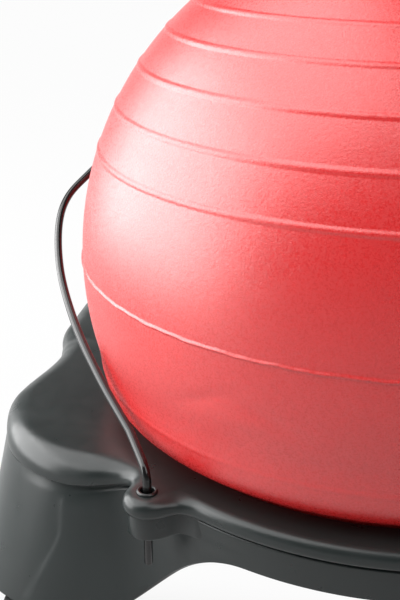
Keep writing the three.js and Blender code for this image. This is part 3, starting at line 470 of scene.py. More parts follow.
def steel(name):
    """Zinc-plated steel with fine turning marks."""
    return surface(name, (0.36, 0.37, 0.36), 0.32, (90, 3), (0.8, 1.15), (400, 4), (0.24, 0.42),
                   [((1500, 2), 0.2, 0.05)], metallic=1.0)


BALL_VINYL = vinyl("ball_vinyl")
BASE_PLASTIC = plastic("base_plastic", (0.0135, 0.018, 0.0176), 0.31, ior=1.46)
CASTER_PLASTIC = plastic("caster_plastic", (0.011, 0.012, 0.012), 0.5, 1700, 0.3)
WHEEL_PLASTIC = plastic("wheel_plastic", (0.02, 0.022, 0.022), 0.55, 1200, 0.35)
SOCKET_PLASTIC = plastic("socket_plastic", (0.006, 0.007, 0.007), 0.35, 1500, 0.15)
BAR_PAINT = paint("bar_paint", (0.006, 0.006, 0.006), 0.14)
POST_PAINT = paint("post_paint", (0.012, 0.012, 0.012), 0.3, 0.25)
BRIGHT_STEEL = steel("bright_steel")


# Plan of the base

def smooth_union(a, b, blend):
    overlap = np.maximum(blend - np.abs(a - b), 0) / blend
    return np.minimum(a, b) - overlap * overlap * blend / 4


def rounded_box(x, y, half_width, front, rear, corner):
    dx = np.abs(x) - half_width + corner
    dy = np.abs(y - (front + rear) / 2) - (rear - front) / 2 + corner
    outside = np.hypot(np.maximum(dx, 0), np.maximum(dy, 0))
    return outside + np.minimum(np.maximum(dx, dy), 0) - corner


def plan_distance(x, y, flare, draft, bosses):
    """Signed distance to the outline; the pads grow by the flare, the ring shrinks by the draft."""
    front = rounded_box(x, y, FRONT_PAD[0] + flare, FRONT_PAD[1] - flare, *FRONT_PAD[2:])
    rear = rounded_box(x, y, REAR_PAD[0] + flare, REAR_PAD[1], REAR_PAD[2] + flare, REAR_PAD[3])
    waist = rounded_box(x, y, WAIST[0] + flare, *WAIST[1:])
    post_pad = rounded_box(x, y, *POST_PAD)
    ring = smooth_union(np.hypot(x, y) - RING_RADIUS + draft, post_pad + draft, RING_BLEND)
    sides = smooth_union(front, smooth_union(rear, waist, WAIST_BLEND), SIDE_BLEND)
    base = smooth_union(ring, sides, RING_BLEND)
    if not bosses:
        return base
    boss = np.hypot(np.abs(x) - BOSS_X, y - BOSS_Y) - BOSS_RADIUS
    return smooth_union(base, boss, BOSS_BLEND)


def plan_radius(azimuth, inset, flare=0.0, draft=0.0, bosses=False):
    """Radius of the outline at each azimuth, taken in from its edge by an inset."""
    sine, cosine = np.sin(azimuth), -np.cos(azimuth)
    farthest, scans, halvings = 450.0, 260, 18

    def inside(radius):
        return plan_distance(radius * sine, radius * cosine, flare, draft, bosses) < -inset

    steps = farthest * (1 - np.arange(scans) / scans)
    hits = np.array([inside(np.full_like(azimuth, r)) for r in steps])
    first = hits.argmax(0)
    inner, outer = steps[first], steps[np.maximum(first - 1, 0)]
    for _ in range(halvings):
        middle = (outer + inner) / 2
        within = inside(middle)
        inner = np.where(within, middle, inner)
        outer = np.where(within, outer, middle)
    return inner


def smooth_step(low, high, value):
    share = np.clip((value - low) / (high - low), 0, 1)
    return share * share * (3 - 2 * share)


def blend_to_pad(ring, pad, azimuth):
    """A value that is one thing on the ring and another over the pads."""
    turn = np.abs(np.degrees(azimuth))
    share = smooth_step(*PAD_START, turn) * (1 - smooth_step(*PAD_END, turn))
    return ring + (pad - ring) * share


def bottom_height(azimuth, widening=1.0):
    """Lower edge of the frame; a widening above 1 widens the arches."""
    height = np.full_like(azimuth, FOOT)
    for centre, flat_half, foot_half in ARCHES:
        difference = np.degrees(azimuth) - centre
        offset = np.abs(difference - 360 * np.round(difference / 360)) / widening
        share = np.maximum(offset - flat_half, 0) / (foot_half - flat_half)
        arch = BAND_BOTTOM - (BAND_BOTTOM - FOOT) * share * share
        height = np.where(offset < foot_half, arch, height)
    return height


SEAT_LATITUDE = -math.degrees(math.asin((BALL_CENTRE - RING_TOP) / (BALL_RADIUS - PINCH)))


def film_radius(latitude):
    """The ball's film: round, swollen above the lip and drawn in where the lip holds it."""
    above = latitude - SEAT_LATITUDE
    share = np.clip((BULGE_TOP - above) / (BULGE_TOP - BULGE_FOOT), 0, 1)
    pinched = PINCH * np.exp(-(above / PINCH_DEGREES) ** 2)
    return BALL_RADIUS + BULGE * np.sin(math.pi * share) ** 2 - pinched


def seat_radius(height):
    """Inner radius of the lip, just clear of the film."""
    latitude = SEAT_LATITUDE
    for _ in range(20):
        latitude = math.degrees(math.asin((height - BALL_CENTRE) / film_radius(latitude)))
    return film_radius(latitude) * math.cos(math.radians(latitude)) + FIT_GAP


def stations():
    """Azimuths round the ring."""
    front = np.concatenate([np.arange(0, CLOSE_START, STATION_STEP),
                            np.arange(CLOSE_START, CLOSE_END, STATION_STEP / 2),
                            np.arange(CLOSE_END, 180, STATION_STEP)])
    return np.radians(np.concatenate([-front[:0:-1], front, [180.0]]))


INNER_WALL = seat_radius(RING_TOP) + LIP_WALL + FIT_GAP


def ring_rows(azimuth, section):
    """Grid of points from a section given as (radius, height) arrays over the azimuths."""
    return np.array([row(radius * np.sin(azimuth), -radius * np.cos(azimuth), height)
                     for radius, height in section])


def shoulder(azimuth, inset, bosses, steps):
    radius = blend_to_pad(RING_SHOULDER, PAD_SHOULDER, azimuth)
    section = []
    for angle in np.linspace(0, math.pi / 2, steps + 1):
        depth = inset + (radius - inset) * (1 - math.sin(angle))
        height = RING_TOP - inset - (radius - inset) * (1 - math.cos(angle))
        section.append((plan_radius(azimuth, depth, bosses=bosses), height))
    return section


def base_cover():
    azimuth = stations()
    edge = blend_to_pad(RING_EDGE, PAD_EDGE, azimuth)
    bead = blend_to_pad(RING_BEAD, PAD_BEAD, azimuth)
    lip_foot, lip_side, under = RING_TOP - SEAT_DEPTH, RING_TOP - LIP_ROUND, RING_TOP - COVER_WALL
    section = [(seat_radius(lip_foot), lip_foot)]
    section += [(seat_radius(lip_side - t), lip_side - t) for t in (6, 3, 0)]
    for angle in np.linspace(0.25, 1, 4) * math.pi / 2:
        section.append((seat_radius(RING_TOP) + LIP_ROUND * (1 - math.cos(angle)),
                        lip_side + LIP_ROUND * math.sin(angle)))
    section += shoulder(azimuth, 0, True, 14)
    outline = plan_radius(azimuth, 0, bosses=True)
    for angle in np.linspace(0, math.pi / 2, 5):
        inner = plan_radius(azimuth, PAD_BEAD * (1 - math.cos(angle)), bosses=True)
        rolled = outline + (inner - outline) * np.maximum(bead / PAD_BEAD, 1)
        section.append((rolled, edge + bead * (1 - math.sin(angle))))
    inner = plan_radius(azimuth, COVER_WALL, bosses=True)
    section.append((inner - np.maximum(bead - PAD_BEAD, 0), edge))
    section += reversed(shoulder(azimuth, COVER_WALL, True, 4))
    section += [(seat_radius(z) + LIP_WALL, z) for z in (under, lip_foot)]
    cover = make("cover_moulding", loft(ring_rows(azimuth, section)), BASE_PLASTIC)
    bored(cover, (-1, 1), (EYELET_HOLE, 160, 48, BOSS_X, BOSS_Y),
          (POST_BORE, 140, 64, POST_X, POST_Y))
    fitted(cover, "base", "base_plastic", "base_cover")


def lean(height):
    """How far the legs lean out and the band leans in at a height."""
    flare = LEG_FLARE * np.maximum((PAD_EDGE - height) / (PAD_EDGE - FOOT), 0)
    draft = RING_DRAFT * np.clip((RING_EDGE - height) / (RING_EDGE - BAND_BOTTOM), 0, 1)
    return flare, draft


def skirt(azimuth, inset, height):
    """Radius of the frame's side."""
    return plan_radius(azimuth, inset, *lean(height))


def panel_relief(azimuth, radius, height):
    """Raised panel on the front of each front leg, with a softly rounded border."""
    x, y = radius * np.sin(azimuth), -radius * np.cos(azimuth)
    border = PANEL_SIDE + np.maximum(PANEL_KNEE - height, 0) * PANEL_SPREAD
    inside = np.minimum(border - np.abs(x), PANEL_TOP - height)
    shown = (y < PANEL_REAR) * smooth_step(*PANEL_FADE, np.abs(x))
    return PANEL_RISE * smooth_step(-PANEL_SOFT, PANEL_SOFT, inside) * shown


def base_frame():
    azimuth = stations()
    edge = blend_to_pad(RING_EDGE, PAD_EDGE, azimuth)
    bottom = bottom_height(azimuth)
    inner_bottom = bottom_height(azimuth, INNER_ARCH)
    top = RING_TOP - FRAME_INSET
    section = [(INNER_WALL, inner_bottom), (INNER_WALL, top)]
    section += shoulder(azimuth, FRAME_INSET, False, 5)
    step = blend_to_pad(RING_STEP, PAD_STEP, azimuth)
    flank = smooth_step(*FLANK_TURNS, np.abs(np.degrees(azimuth)))
    face = FRAME_INSET - FLANK_RISE * flank
    section.append((skirt(azimuth, FRAME_INSET, edge), edge - 0.1))
    for share in np.linspace(0, 1, 7):
        height = edge - FIT_GAP - step * share
        inset = face + STEP_IN * (1 - flank) * (1 - smooth_step(0.1, 1, share))
        section.append((skirt(azimuth, inset, height), height))
    for share in np.linspace(0.04, 0.97, 14):
        height = edge - FIT_GAP - step + (bottom - edge + FIT_GAP + step) * share
        radius = skirt(azimuth, face, height)
        section.append((radius + panel_relief(azimuth, radius, height), height))
    foot = skirt(azimuth, face, bottom)
    section += [(foot - 0.3 * FOOT_ROUND, bottom + 0.7 * FOOT_ROUND), (foot - FOOT_ROUND, bottom),
                (foot - FRAME_WALL, bottom)]
    inset = FRAME_INSET + FRAME_WALL
    for share in (0.5, 0):
        height = bottom + (edge - bottom) * (1 - share)
        section.append((skirt(azimuth, inset, height), height))
    section += reversed(shoulder(azimuth, inset, False, 3))
    section += [(INNER_WALL + FRAME_WALL, top - FRAME_WALL),
                (INNER_WALL + FRAME_WALL, inner_bottom)]
    shell = make("frame_moulding", loft(ring_rows(azimuth, section)), BASE_PLASTIC)
    bored(shell, (-1, 1), BAR_DRILL, (POST_BORE, 150, 64, POST_X, POST_Y))
    fitted(shell, "base", "base_plastic", "base_frame")


def ceiling(x, y):
    """How high a rib or column may reach at each place and still end inside the frame's skin."""
    azimuth = np.arctan2(x, -y)
    edge = blend_to_pad(RING_EDGE, PAD_EDGE, azimuth)
    radius = blend_to_pad(RING_SHOULDER, PAD_SHOULDER, azimuth)
    wall, levels = FRAME_INSET + FRAME_WALL / 2, 241
    heights = np.linspace(FOOT, RING_TOP - wall, levels)
    count = np.zeros(np.shape(x), int)
    for height in heights:
        cosine = np.clip(1 - (RING_TOP - wall - height) / (radius - wall), 0, 1)
        rounding = (radius - wall) * (1 - np.sqrt(1 - cosine * cosine))
        depth = wall + np.where(height > edge, rounding, 0)
        count += plan_distance(x, y, *lean(height), False) < -depth
    return heights[np.maximum(count - 1, 0)]


def rib(x, y, turn, length, foot):
    """An upright web under the top of the frame, trimmed to end inside its skin."""
    stops = 131
    reach = np.linspace(-length / 2, length / 2, stops)
    px, py = x - reach * math.sin(turn), y + reach * math.cos(turn)
    top = ceiling(px, py)
    held = (top > foot + LEAST_RIB) & (np.hypot(px, py) > INNER_WALL + FRAME_WALL / 2)
    reach, top = reach[held], top[held]
    outline = [(reach[-1], foot), *zip(reach[::-1], top[::-1]), (reach[0], foot)]
    return moved(turned(side_prism(outline, RIB), "Z", turn), x, y)


def column(x, y, foot, section):
    """A round column with a section of (radius, height) pairs, cut back to the frame's skin."""
    turn = np.radians(np.arange(0, 360, 6))
    outer, stops = max(radius for radius, height in section), 75
    spokes = np.linspace(0, outer, stops)[:, None]
    tops = ceiling(x + spokes * np.cos(turn), y + spokes * np.sin(turn))
    under = (tops > foot + LEAST_COLUMN).cumprod(0).sum(0)
    limit = spokes[under - 1, 0]
    rows = []
    for radius, height in section:
        radius = np.minimum(radius, limit)
        px, py = x + radius * np.cos(turn), y + radius * np.sin(turn)
        rows.append(row(px, py, np.minimum(height, ceiling(px, py))))
    return loft(np.array(rows))


def frame_webs():
    """Ribs and columns under the frame that carry the casters and the back posts."""
    # A column's section starts or ends this close to its axis
    axis = 0.01
    pieces = []
    for name, x, y, _ in CASTERS:
        radial = math.atan2(-x, y)
        webs = [rib(x, y, radial + turn, LEG_RIB, FOOT + RIB_RECESS) for turn in (0, math.pi / 2)]
        bore, outer, floor_at = SOCKET_RADIUS + FIT_GAP, LEG_COLUMN, FOOT + SOCKET_LENGTH
        section = [(axis, floor_at), (bore, floor_at), (bore, FOOT + 0.6), (bore + 0.6, FOOT),
                   (outer - 0.8, FOOT), (outer, FOOT + 0.8)]
        section += [(outer, FOOT + (RING_TOP - FOOT) * share) for share in np.linspace(0.2, 1, 8)]
        section += [(outer * share, RING_TOP) for share in (0.75, 0.5, 0.25, 0.001)]
        pieces += [(f"leg_ribs_{name}", joined(*webs)),
                   (f"leg_column_{name}", column(x, y, FOOT, section))]
    for side, hand in HANDS:
        x, foot = side * POST_X, POST_SOCKET_FOOT
        web = rib(x, POST_Y, math.atan2(-x, POST_Y), POST_RIB, BAND_BOTTOM + RIB_RECESS / 2)
        outer, floor_at = POST_BORE + POST_SOCKET_WALL, foot + POST_SOCKET_FLOOR
        section = [(axis, foot), (outer - 1, foot), (outer, foot + 1), (outer, RING_TOP),
                   (POST_BORE, RING_TOP), (POST_BORE, floor_at), (axis, floor_at)]
        pieces += [(f"post_rib_{hand}", web),
                   (f"post_column_{hand}", column(x, POST_Y, foot, section))]
    for name, shape in pieces:
        fitted(make(name, shape, BASE_PLASTIC), "base", "base_plastic")


def boss_blocks():
    """The frame's part of each boss, which takes an end of the bar."""
    top = RING_TOP - FRAME_INSET
    for side, hand in HANDS:
        centre = math.atan2(side * BOSS_X, -BOSS_Y)
        azimuth = centre + np.radians(np.arange(-BOSS_TURN, BOSS_TURN + 0.01, 0.25))
        section = [(INNER_WALL + 1, top - 2), (INNER_WALL + 3, top)]
        faded = smooth_step(*BOSS_FADE, np.abs(np.degrees(azimuth - centre)))
        sunk = FRAME_INSET + BOSS_SINK * faded
        section += shoulder(azimuth, sunk, True, 5)
        outline = plan_radius(azimuth, sunk, bosses=True)
        section += [(outline, BOSS_BOTTOM + 1.5), (outline - 0.5, BOSS_BOTTOM + 0.5),
                    (outline - 1.5, BOSS_BOTTOM), (INNER_WALL + 1, BOSS_BOTTOM)]
        block = make(f"bar_boss_{hand}", sector(ring_rows(azimuth, section)), BASE_PLASTIC)
        bored(block, (side,), BAR_DRILL)
        fitted(block, "base", "base_plastic")


def ball_latitudes():
    """Latitudes from the bottom of the ball to the top, close together over rings and seam."""
    fine = np.concatenate([np.arange(-87.5, -44, 1.5), np.arange(-44, 0, 0.5),
                           np.arange(0, 56, 0.6), np.arange(57, 89.5, 1.5)])
    beads = [np.linspace(-1.1, 1.1, 15) + ridge for ridge in (0, *RIDGES)]
    return np.unique(np.round(np.concatenate([fine, *beads]), 4))


def ball_radii(latitude, longitude):
    """Radius over the ball: the film with its rings, its creases and its slightly wavy seam."""
    radius = film_radius(latitude)
    for ridge, rise in zip(RIDGES, RIDGE_RISES):
        across = (latitude - ridge) / RIDGE_HALF
        radius = radius + rise * np.clip(1 - across ** 2, 0, 1) ** 1.3
    for crease_latitude, crease_longitude, length, width, slant, sink in CREASES:
        along = np.degrees(longitude) - 360 * (longitude > math.pi) - crease_longitude
        across = latitude - crease_latitude - slant * along
        radius = radius - sink * np.exp(-(along / length) ** 2 - (across / width) ** 2)
    wobble = 0.05 * np.sin(37 * longitude) + 0.04 * np.sin(83 * longitude + 1.3)
    seam = np.exp(-((latitude - wobble) / SEAM_HALF) ** 4)
    return radius + SEAM_RISE * seam


def ball():
    latitudes = ball_latitudes()
    lat, lon = np.meshgrid(latitudes, full_turn(MERIDIANS), indexing="ij")
    radius = ball_radii(lat, lon)
    lat = np.radians(lat)
    grid = row(radius * np.cos(lat) * np.sin(lon), -radius * np.cos(lat) * np.cos(lon),
               BALL_CENTRE + radius * np.sin(lat))
    points, faces = loft(grid, closed_rows=False)
    top, bottom = len(points), len(points) + 1
    poles = [(0, 0, BALL_CENTRE + BALL_RADIUS), (0, 0, BALL_CENTRE - BALL_RADIUS + 0.4)]
    points = np.concatenate([points, poles])
    last = (len(latitudes) - 1) * MERIDIANS
    faces += [(i, bottom, (i + 1) % MERIDIANS) for i in range(MERIDIANS)]
    faces += [(last + (i + 1) % MERIDIANS, top, last + i) for i in range(MERIDIANS)]
    skin = make("ball_skin", (points, faces), BALL_VINYL, 60)
    fitted(skin, "ball", "ball_vinyl", "ball")
    head = BALL_CENTRE - BALL_RADIUS - FIT_GAP
    profile = [(0, head - 1.6), (6, head - 1.6), (8.4, head - 1.2), (9, head - 0.5), (9, head),
               (5.2, head), (5.2, head + 12), (0, head + 12)]
    fitted(make("ball_valve", lathe(profile, 64), BALL_VINYL), "ball", "ball_vinyl", "ball_plug")


def catmull_rom(points, count):
    """Centripetal curve through the points, sampled evenly in its parameter."""
    points = [np.array(p, float) for p in points]
    last = len(points) - 1
    out = []
    for k in range(count + 1):
        at = last * k / count
        i = min(int(at), last - 1)
        weight = at - i
        p1, p2 = points[i], points[i + 1]
        p0 = points[i - 1] if i > 0 else 2 * p1 - p2
        p3 = points[i + 2] if i + 2 <= last else 2 * p2 - p1
        d0, d1, d2 = [math.sqrt(np.linalg.norm(b - a)) or 1.0
                      for a, b in ((p0, p1), (p1, p2), (p2, p3))]
        t1 = ((p1 - p0) / d0 - (p2 - p0) / (d0 + d1) + (p2 - p1) / d1) * d1
        t2 = ((p2 - p1) / d1 - (p3 - p1) / (d1 + d2) + (p3 - p2) / d2) * d1
        c2 = -3 * p1 + 3 * p2 - 2 * t1 - t2
        c3 = 2 * p1 - 2 * p2 + t1 + t2
        out.append(p1 + t1 * weight + c2 * weight ** 2 + c3 * weight ** 3)
    return out


def rounded_path(corners, radii, step=math.radians(5)):
    """Straight runs between corners, each corner rounded to its radius."""
    corners = [np.array(c, float) for c in corners]
    path = [corners[0]]
    for i in range(1, len(corners) - 1):
        inward = unit(corners[i - 1] - corners[i])
        outward = unit(corners[i + 1] - corners[i])
        turn = math.pi - math.acos(np.clip(inward @ outward, -1, 1))
        radius = radii[i - 1]
        normal = unit(inward + outward)
        centre = corners[i] + normal * radius / math.cos(turn / 2)
        start = corners[i] + inward * radius * math.tan(turn / 2) - centre
        axis = unit(np.cross(start, corners[i] - centre))
        steps = max(round(turn / step), 3)
        for k in range(steps + 1):
            angle = turn * k / steps
            path.append(centre + start * math.cos(angle) + np.cross(axis, start) * math.sin(angle))
    path.append(corners[-1])
    return path


def ferrules(name, node, profile, x, y):
    """A dark ring of plastic on each side of the base."""
    for side, hand in HANDS:
        ring = make(f"{name}_{hand}", moved(lathe(profile, 64), side * x, y), SOCKET_PLASTIC)
        fitted(ring, "base", "socket_plastic", f"{node}_{hand}")


def retaining_bar():
    along, rise = BALL_RADIUS * math.cos(BAR_SLOPE), BALL_RADIUS * math.sin(BAR_SLOPE)
    half = [(side * BALL_RADIUS, BOSS_Y + back * along, BAR_BEND + back * rise)
            for side, back in BAR_LOOP]
    whole = half + [(-x, y, z) for x, y, z in reversed(half[:-1])]
    curve = catmull_rom(whole, 320)
    foot, bend = (BOSS_X, BOSS_Y, BAR_FOOT), (BOSS_X, BOSS_Y, BAR_BEND)
    leg = rounded_path([foot, bend, half[0]], [BAR_BEND_RADIUS])[:-1]
    mirrored = [p * np.array([-1, 1, 1]) for p in reversed(leg)]
    bar = sweep([*leg, *curve, *mirrored], BAR_RADIUS, 24, round_end=0.8)
    fitted(make("bar", bar, BAR_PAINT), "base", "bar_paint", "retaining_bar")
    seat = RING_TOP + FIT_GAP
    profile = [(5, seat - 3), (6.3, seat - 3), (6.3, seat), (7.6, seat), (7.75, seat + 0.5),
               (7.4, seat + 1.2), (6.7, seat + 1.65), (5.9, seat + 1.6), (5.2, seat + 1.1),
               (5, seat + 0.4)]
    ferrules("eyelet", "bar_eyelet", profile, BOSS_X, BOSS_Y)


# Casters, each in its own frame with the swivel axis at x = 0, y = 0

def wheel_shape():
    """A wheel with its rim, groove and hub cap turned on its outer face."""
    rim, outer = WHEEL_RADIUS, WHEEL_WIDTH
    profile = [(0, outer - 3.2), (3.3, outer - 3.2), (3.3, 0.6), (5, 0), (rim - 1, 0),
               (rim - 0.3, 0.3), (rim, 1), (rim, outer - 3.2), (rim - 0.25, outer - 1.8),
               (rim - 0.9, outer - 0.7), (rim - 2, outer - 0.1), (rim - 3, outer),
               (19.6, outer - 0.1), (19.1, outer - 0.9), (18.4, outer - 1.1),
               (17.7, outer - 0.8), (16, outer - 0.3), (9, outer - 0.1), (8.6, outer - 0.5),
               (8.1, outer - 0.5), (7.8, outer - 0.1), (4, outer), (0, outer)]
    return turned(lathe(profile, 72), "Y", math.pi / 2)


def pin_barrel(width):
    return side_prism(arc(PIN_BARREL, 0, 2 * math.pi, 24, BRAKE_PIN)[:-1], width)


def housing_shapes(braked):
    axle = (TRAIL, WHEEL_RADIUS)
    hood = arc(HOOD_RADIUS, HOOD_START, HOOD_END, 48, axle)
    hood += arc(HOOD_INNER, HOOD_END, HOOD_START, 48, axle)
    web = arc(WEB_RADIUS, 0, math.pi, 48, axle)
    hub = arc(HUB_RADIUS, 0, 2 * math.pi, 47, axle)[:-1]
    width = WEB_WIDTH + 2 * (RUN_GAP + WHEEL_WIDTH)
    neck = HOUSING_TOP - WHEEL_RADIUS
    collar = [(0, 48.2), (9, 48.2), (9, 52.7), (8.2, HOUSING_TOP), (4.2, HOUSING_TOP), (4.1, 50),
              (0, 50)]
    shapes = [side_prism(hood, width), side_prism(web, WEB_WIDTH), side_prism(hub, WEB_WIDTH),
              box((WEB_WIDTH, NECK_DEPTH, neck), (0, 0, WHEEL_RADIUS + neck / 2)),
              lathe(collar, 48)]
    if braked:
        shapes.append(pin_barrel(WEB_WIDTH))
    return shapes


def lever_shapes():
    """The brake's pedal, the barrels on its pin and the grips across it."""
    length, half = PEDAL_LENGTH, PEDAL_HALF
    end = arc(half, -math.pi / 2, math.pi / 2, 8, (length, 0))[1:-1]
    tab = [(0, -half), (length, -half), *end, (length, half), (0, half)]
    pedal = moved(turned(side_prism(tab, PEDAL_WIDTH), "X", PEDAL_LIFT), 0, *BRAKE_PIN)
    offset = (PEDAL_WIDTH - PEDAL_BARREL) / 2
    barrels = [moved(pin_barrel(PEDAL_BARREL), side * offset) for side in (-1, 1)]
    grips = [moved(turned(box((38, 0.9, 0.8), (0, 8 + 2.4 * k, 1.5)), "X", PEDAL_LIFT), 0,
                   *BRAKE_PIN) for k in range(4)]
    return [pedal, *barrels, *grips]


def stem_shape():
    collar = HOUSING_TOP + FIT_GAP
    shank = collar + 1.9
    profile = [(0, HOUSING_TOP - 20), (3.8, HOUSING_TOP - 20), (3.8, collar), (8.6, collar),
               (9, collar + 0.4), (9, shank - 0.4), (8.6, shank), (5.5, shank), (5.5, shank + 4),
               (5, shank + 4.5), (5, shank + 7), (5.5, shank + 7.5), (5.5, shank + 31),
               (4.2, shank + 33.6), (0, shank + 34)]
    return lathe(profile, 48)


def socket_shape():
    flange, top = FOOT - FIT_GAP, FOOT + SOCKET_LENGTH - FIT_GAP
    profile = [(5.8, flange - 1.2), (6.3, flange - 1.7), (11.4, flange - 1.7), (12, flange - 1.1),
               (12, flange), (SOCKET_RADIUS, flange), (SOCKET_RADIUS, top), (5.8, top)]
    return lathe(profile, 48)


def casters():
    for name, x, y, braked in CASTERS:
        def placed(shape):
            return moved(turned(shape, "Z", math.pi if y < 0 else 0.0), x, y)

        body = f"caster_{name}"
        housing = placed(joined(*housing_shapes(braked)))
        housing = rounded(make(f"housing_{name}", housing, CASTER_PLASTIC), 0.9, 3)
        fitted(housing, body, "caster_plastic", f"caster_housing_{name}")
        stem = make(f"stem_{name}", placed(stem_shape()), BRIGHT_STEEL)
        fitted(stem, body, "bright_steel", f"caster_stem_{name}")
        socket = make(f"socket_{name}", placed(socket_shape()), SOCKET_PLASTIC)
        fitted(socket, "base", "socket_plastic", f"caster_socket_{name}")
        for side, letter in ((-1, "a"), (1, "b")):
            wheel = turned(wheel_shape(), "Z", math.pi if side < 0 else 0.0)
            wheel = moved(wheel, side * (WEB_WIDTH / 2 + RUN_GAP), TRAIL, WHEEL_RADIUS)
            tyre = make(f"wheel_{name}_{letter}", placed(wheel), WHEEL_PLASTIC)
            fitted(tyre, f"wheel_{name}_{letter}", "wheel_plastic",
                   f"caster_wheel_{name}_{letter}")
        if braked:
            lever = make(f"lever_{name}", placed(joined(*lever_shapes())), CASTER_PLASTIC)
            fitted(rounded(lever, 0.5, 2), f"brake_{name}", "caster_plastic",
                   f"brake_lever_{name}")


# Back post and lumbar support

def tilted(shape):
    return moved(turned(shape, "X", -POST_TILT), 0, POST_Y, POST_BEND)


def facing_back(shape):
    """Turns a shape made along +Z so that it points to +Y."""
    return turned(shape, "X", -math.pi / 2)


def back_post():
    top = np.array([0, math.sin(POST_TILT), math.cos(POST_TILT)]) * POST_LENGTH
    sides = []
    for x in (-POST_X, POST_X):
        foot, bend = np.array([x, POST_Y, POST_FOOT]), np.array([x, POST_Y, POST_BEND])
        sides.append([foot, bend, bend + top])
    corners = [*sides[0], *reversed(sides[1])]
    radii = [POST_BEND_RADIUS, POST_TOP_RADIUS, POST_TOP_RADIUS, POST_BEND_RADIUS]
    path = rounded_path(corners, radii, math.radians(3))
    tube = sweep(path, POST_RADIUS, 48, POST_RADIUS - POST_WALL)
    fitted(make("post_tube", tube, POST_PAINT), "base", "post_paint", "back_post")
    seat = RING_TOP + FIT_GAP
    profile = [(11.3, seat), (16.3, seat), (16.3, seat + 2.4), (15.9, seat + 3.4),
               (14.2, seat + 5.2), (13, seat + 5.9), (11.8, seat + 6), (11.3, seat + 5.5)]
    ferrules("collar", "post_collar", profile, POST_X, POST_Y)


def back_bracket():
    bore, outer = POST_BORE, POST_BORE + SLEEVE_WALL
    low, high = SLEEVE - SLEEVE_HALF, SLEEVE + SLEEVE_HALF
    shapes = [box((2 * POST_X, 6, 44), (0, (PLATE_FRONT + PLATE_BACK) / 2, SLEEVE))]
    sleeve = [(bore, low + 0.6), (bore + 0.6, low), (outer - 0.9, low), (outer, low + 0.9),
              (outer, high - 0.9), (outer - 0.9, high), (bore + 0.6, high), (bore, high - 0.6)]
    boss = [(4.3, 11.6), (8, 11.6), (8, 19.6), (7.2, 20.4), (4.3, 20.4)]
    for x in (-POST_X, POST_X):
        shapes.append(moved(lathe(sleeve, 64), x))
        shapes.append(moved(facing_back(lathe(boss, 40)), x, 0, SLEEVE))
    for rise in (-14, 14):
        shapes.append(box((2 * POST_X - 40, 2.2, 2.6), (0, PLATE_BACK + 1.0, SLEEVE + rise)))
    bracket = make("bracket", tilted(joined(*shapes)), CASTER_PLASTIC)
    fitted(rounded(bracket, 0.8, 2), "backrest", "caster_plastic", "back_bracket")


def shell_depth(x, rise):
    """The shell curves round the back from side to side and leans away above and below."""
    return SHELL_BACK - 38 * (x / SHELL_HALF_WIDTH) ** 2 + 14 * (rise / SHELL_HALF_HEIGHT) ** 2


def back_shell():
    around, rings = 160, 26
    angle = full_turn(around)
    norm = (np.abs(np.cos(angle)) ** 4 + np.abs(np.sin(angle)) ** 4) ** -0.25
    grids = []
    reaches = np.sin(np.linspace(0.02, 1, rings) * math.pi / 2)
    for face in (1, -1):
        for reach in (reaches if face > 0 else reaches[::-1]):
            x = reach * norm * np.cos(angle) * SHELL_HALF_WIDTH
            rise = reach * norm * np.sin(angle) * SHELL_HALF_HEIGHT
            edge = math.sqrt(max(1 - reach ** 30, 0)) * 3.0
            groove = 0.5 * smooth_step(0.86, 0.88, reach) * (1 - smooth_step(0.9, 0.92, reach))
            y = shell_depth(x, rise) + face * (edge - groove)
            grids.append(row(x, y, SHELL + rise))
    mount = box((124, SHELL_MOUNT, 40), (0, PLATE_FRONT - FIT_GAP - SHELL_MOUNT / 2, SLEEVE))
    shape = tilted(joined(capped(np.array(grids)), mount))
    shell = rounded(make("lumbar_shell", shape, BASE_PLASTIC), 1.2, 3, 60)
    fitted(shell, "backrest", "base_plastic", "back_shell")


def back_bolts():
    base, tip = PLATE_BACK + FIT_GAP, PLATE_FRONT - SHELL_MOUNT
    hexagon = [(5.2 * math.cos(t), 5.2 * math.sin(t)) for t in np.arange(6) * math.pi / 3]
    flange = [(0, base), (5.4, base), (5.4, base + 0.6), (4.6, base + 0.9), (0, base + 0.9)]
    shank = [(0, tip), (3, tip), (3, base), (0, base)]
    whole = joined(prism(hexagon, 3.2, base), lathe(flange, 32), lathe(shank, 24))
    for k, (x, rise) in enumerate(BOLTS):
        shape = tilted(moved(facing_back(whole), x, 0, SLEEVE + rise))
        bolt = rounded(make(f"bolt_{k + 1}", shape, BRIGHT_STEEL), 0.35, 2)
        fitted(bolt, "backrest", "bright_steel", f"back_bolt_{k + 1}")


def knobs():
    """Lobed knobs: smooth near the middle of each face, and lobed from there outwards."""
    seat = POST_BORE + SLEEVE_WALL + KNOB_BOSS + FIT_GAP
    turns = full_turn(KNOB_STEPS)
    lobes = KNOB_RADIUS + KNOB_LOBE * np.cos(KNOB_LOBES * turns)
    rows = []
    for scale, height in ((0.55, 0), (0.8, 0), (0.86, 0.5), (0.97, 3), (1.0, 5), (1.0, 12),
                          (0.985, 13.4), (0.94, 14.5), (0.86, 15), (0.7, 15), (0.6, 14.7),
                          (0.3, 14.6)):
        radius = lobes * scale
        if scale <= 0.75:
            radius = KNOB_RADIUS * scale + (lobes - KNOB_RADIUS) * max(scale - 0.5, 0) * 3
        rows.append(row(radius * np.cos(turns), radius * np.sin(turns), seat + height))
    stem = lathe([(0, 11.3), (4, 11.3), (4, seat + 3), (0, seat + 3)], 32)
    whole = facing_back(joined(capped(np.array(rows)), stem))
    for x, hand in ((-POST_X, "left"), (POST_X, "right")):
        knob = make(f"knob_{hand}", tilted(moved(whole, x, 0, SLEEVE)), CASTER_PLASTIC)
        fitted(knob, f"knob_{hand}", "caster_plastic", f"height_knob_{hand}")


# The camera stands at the photograph's viewpoint

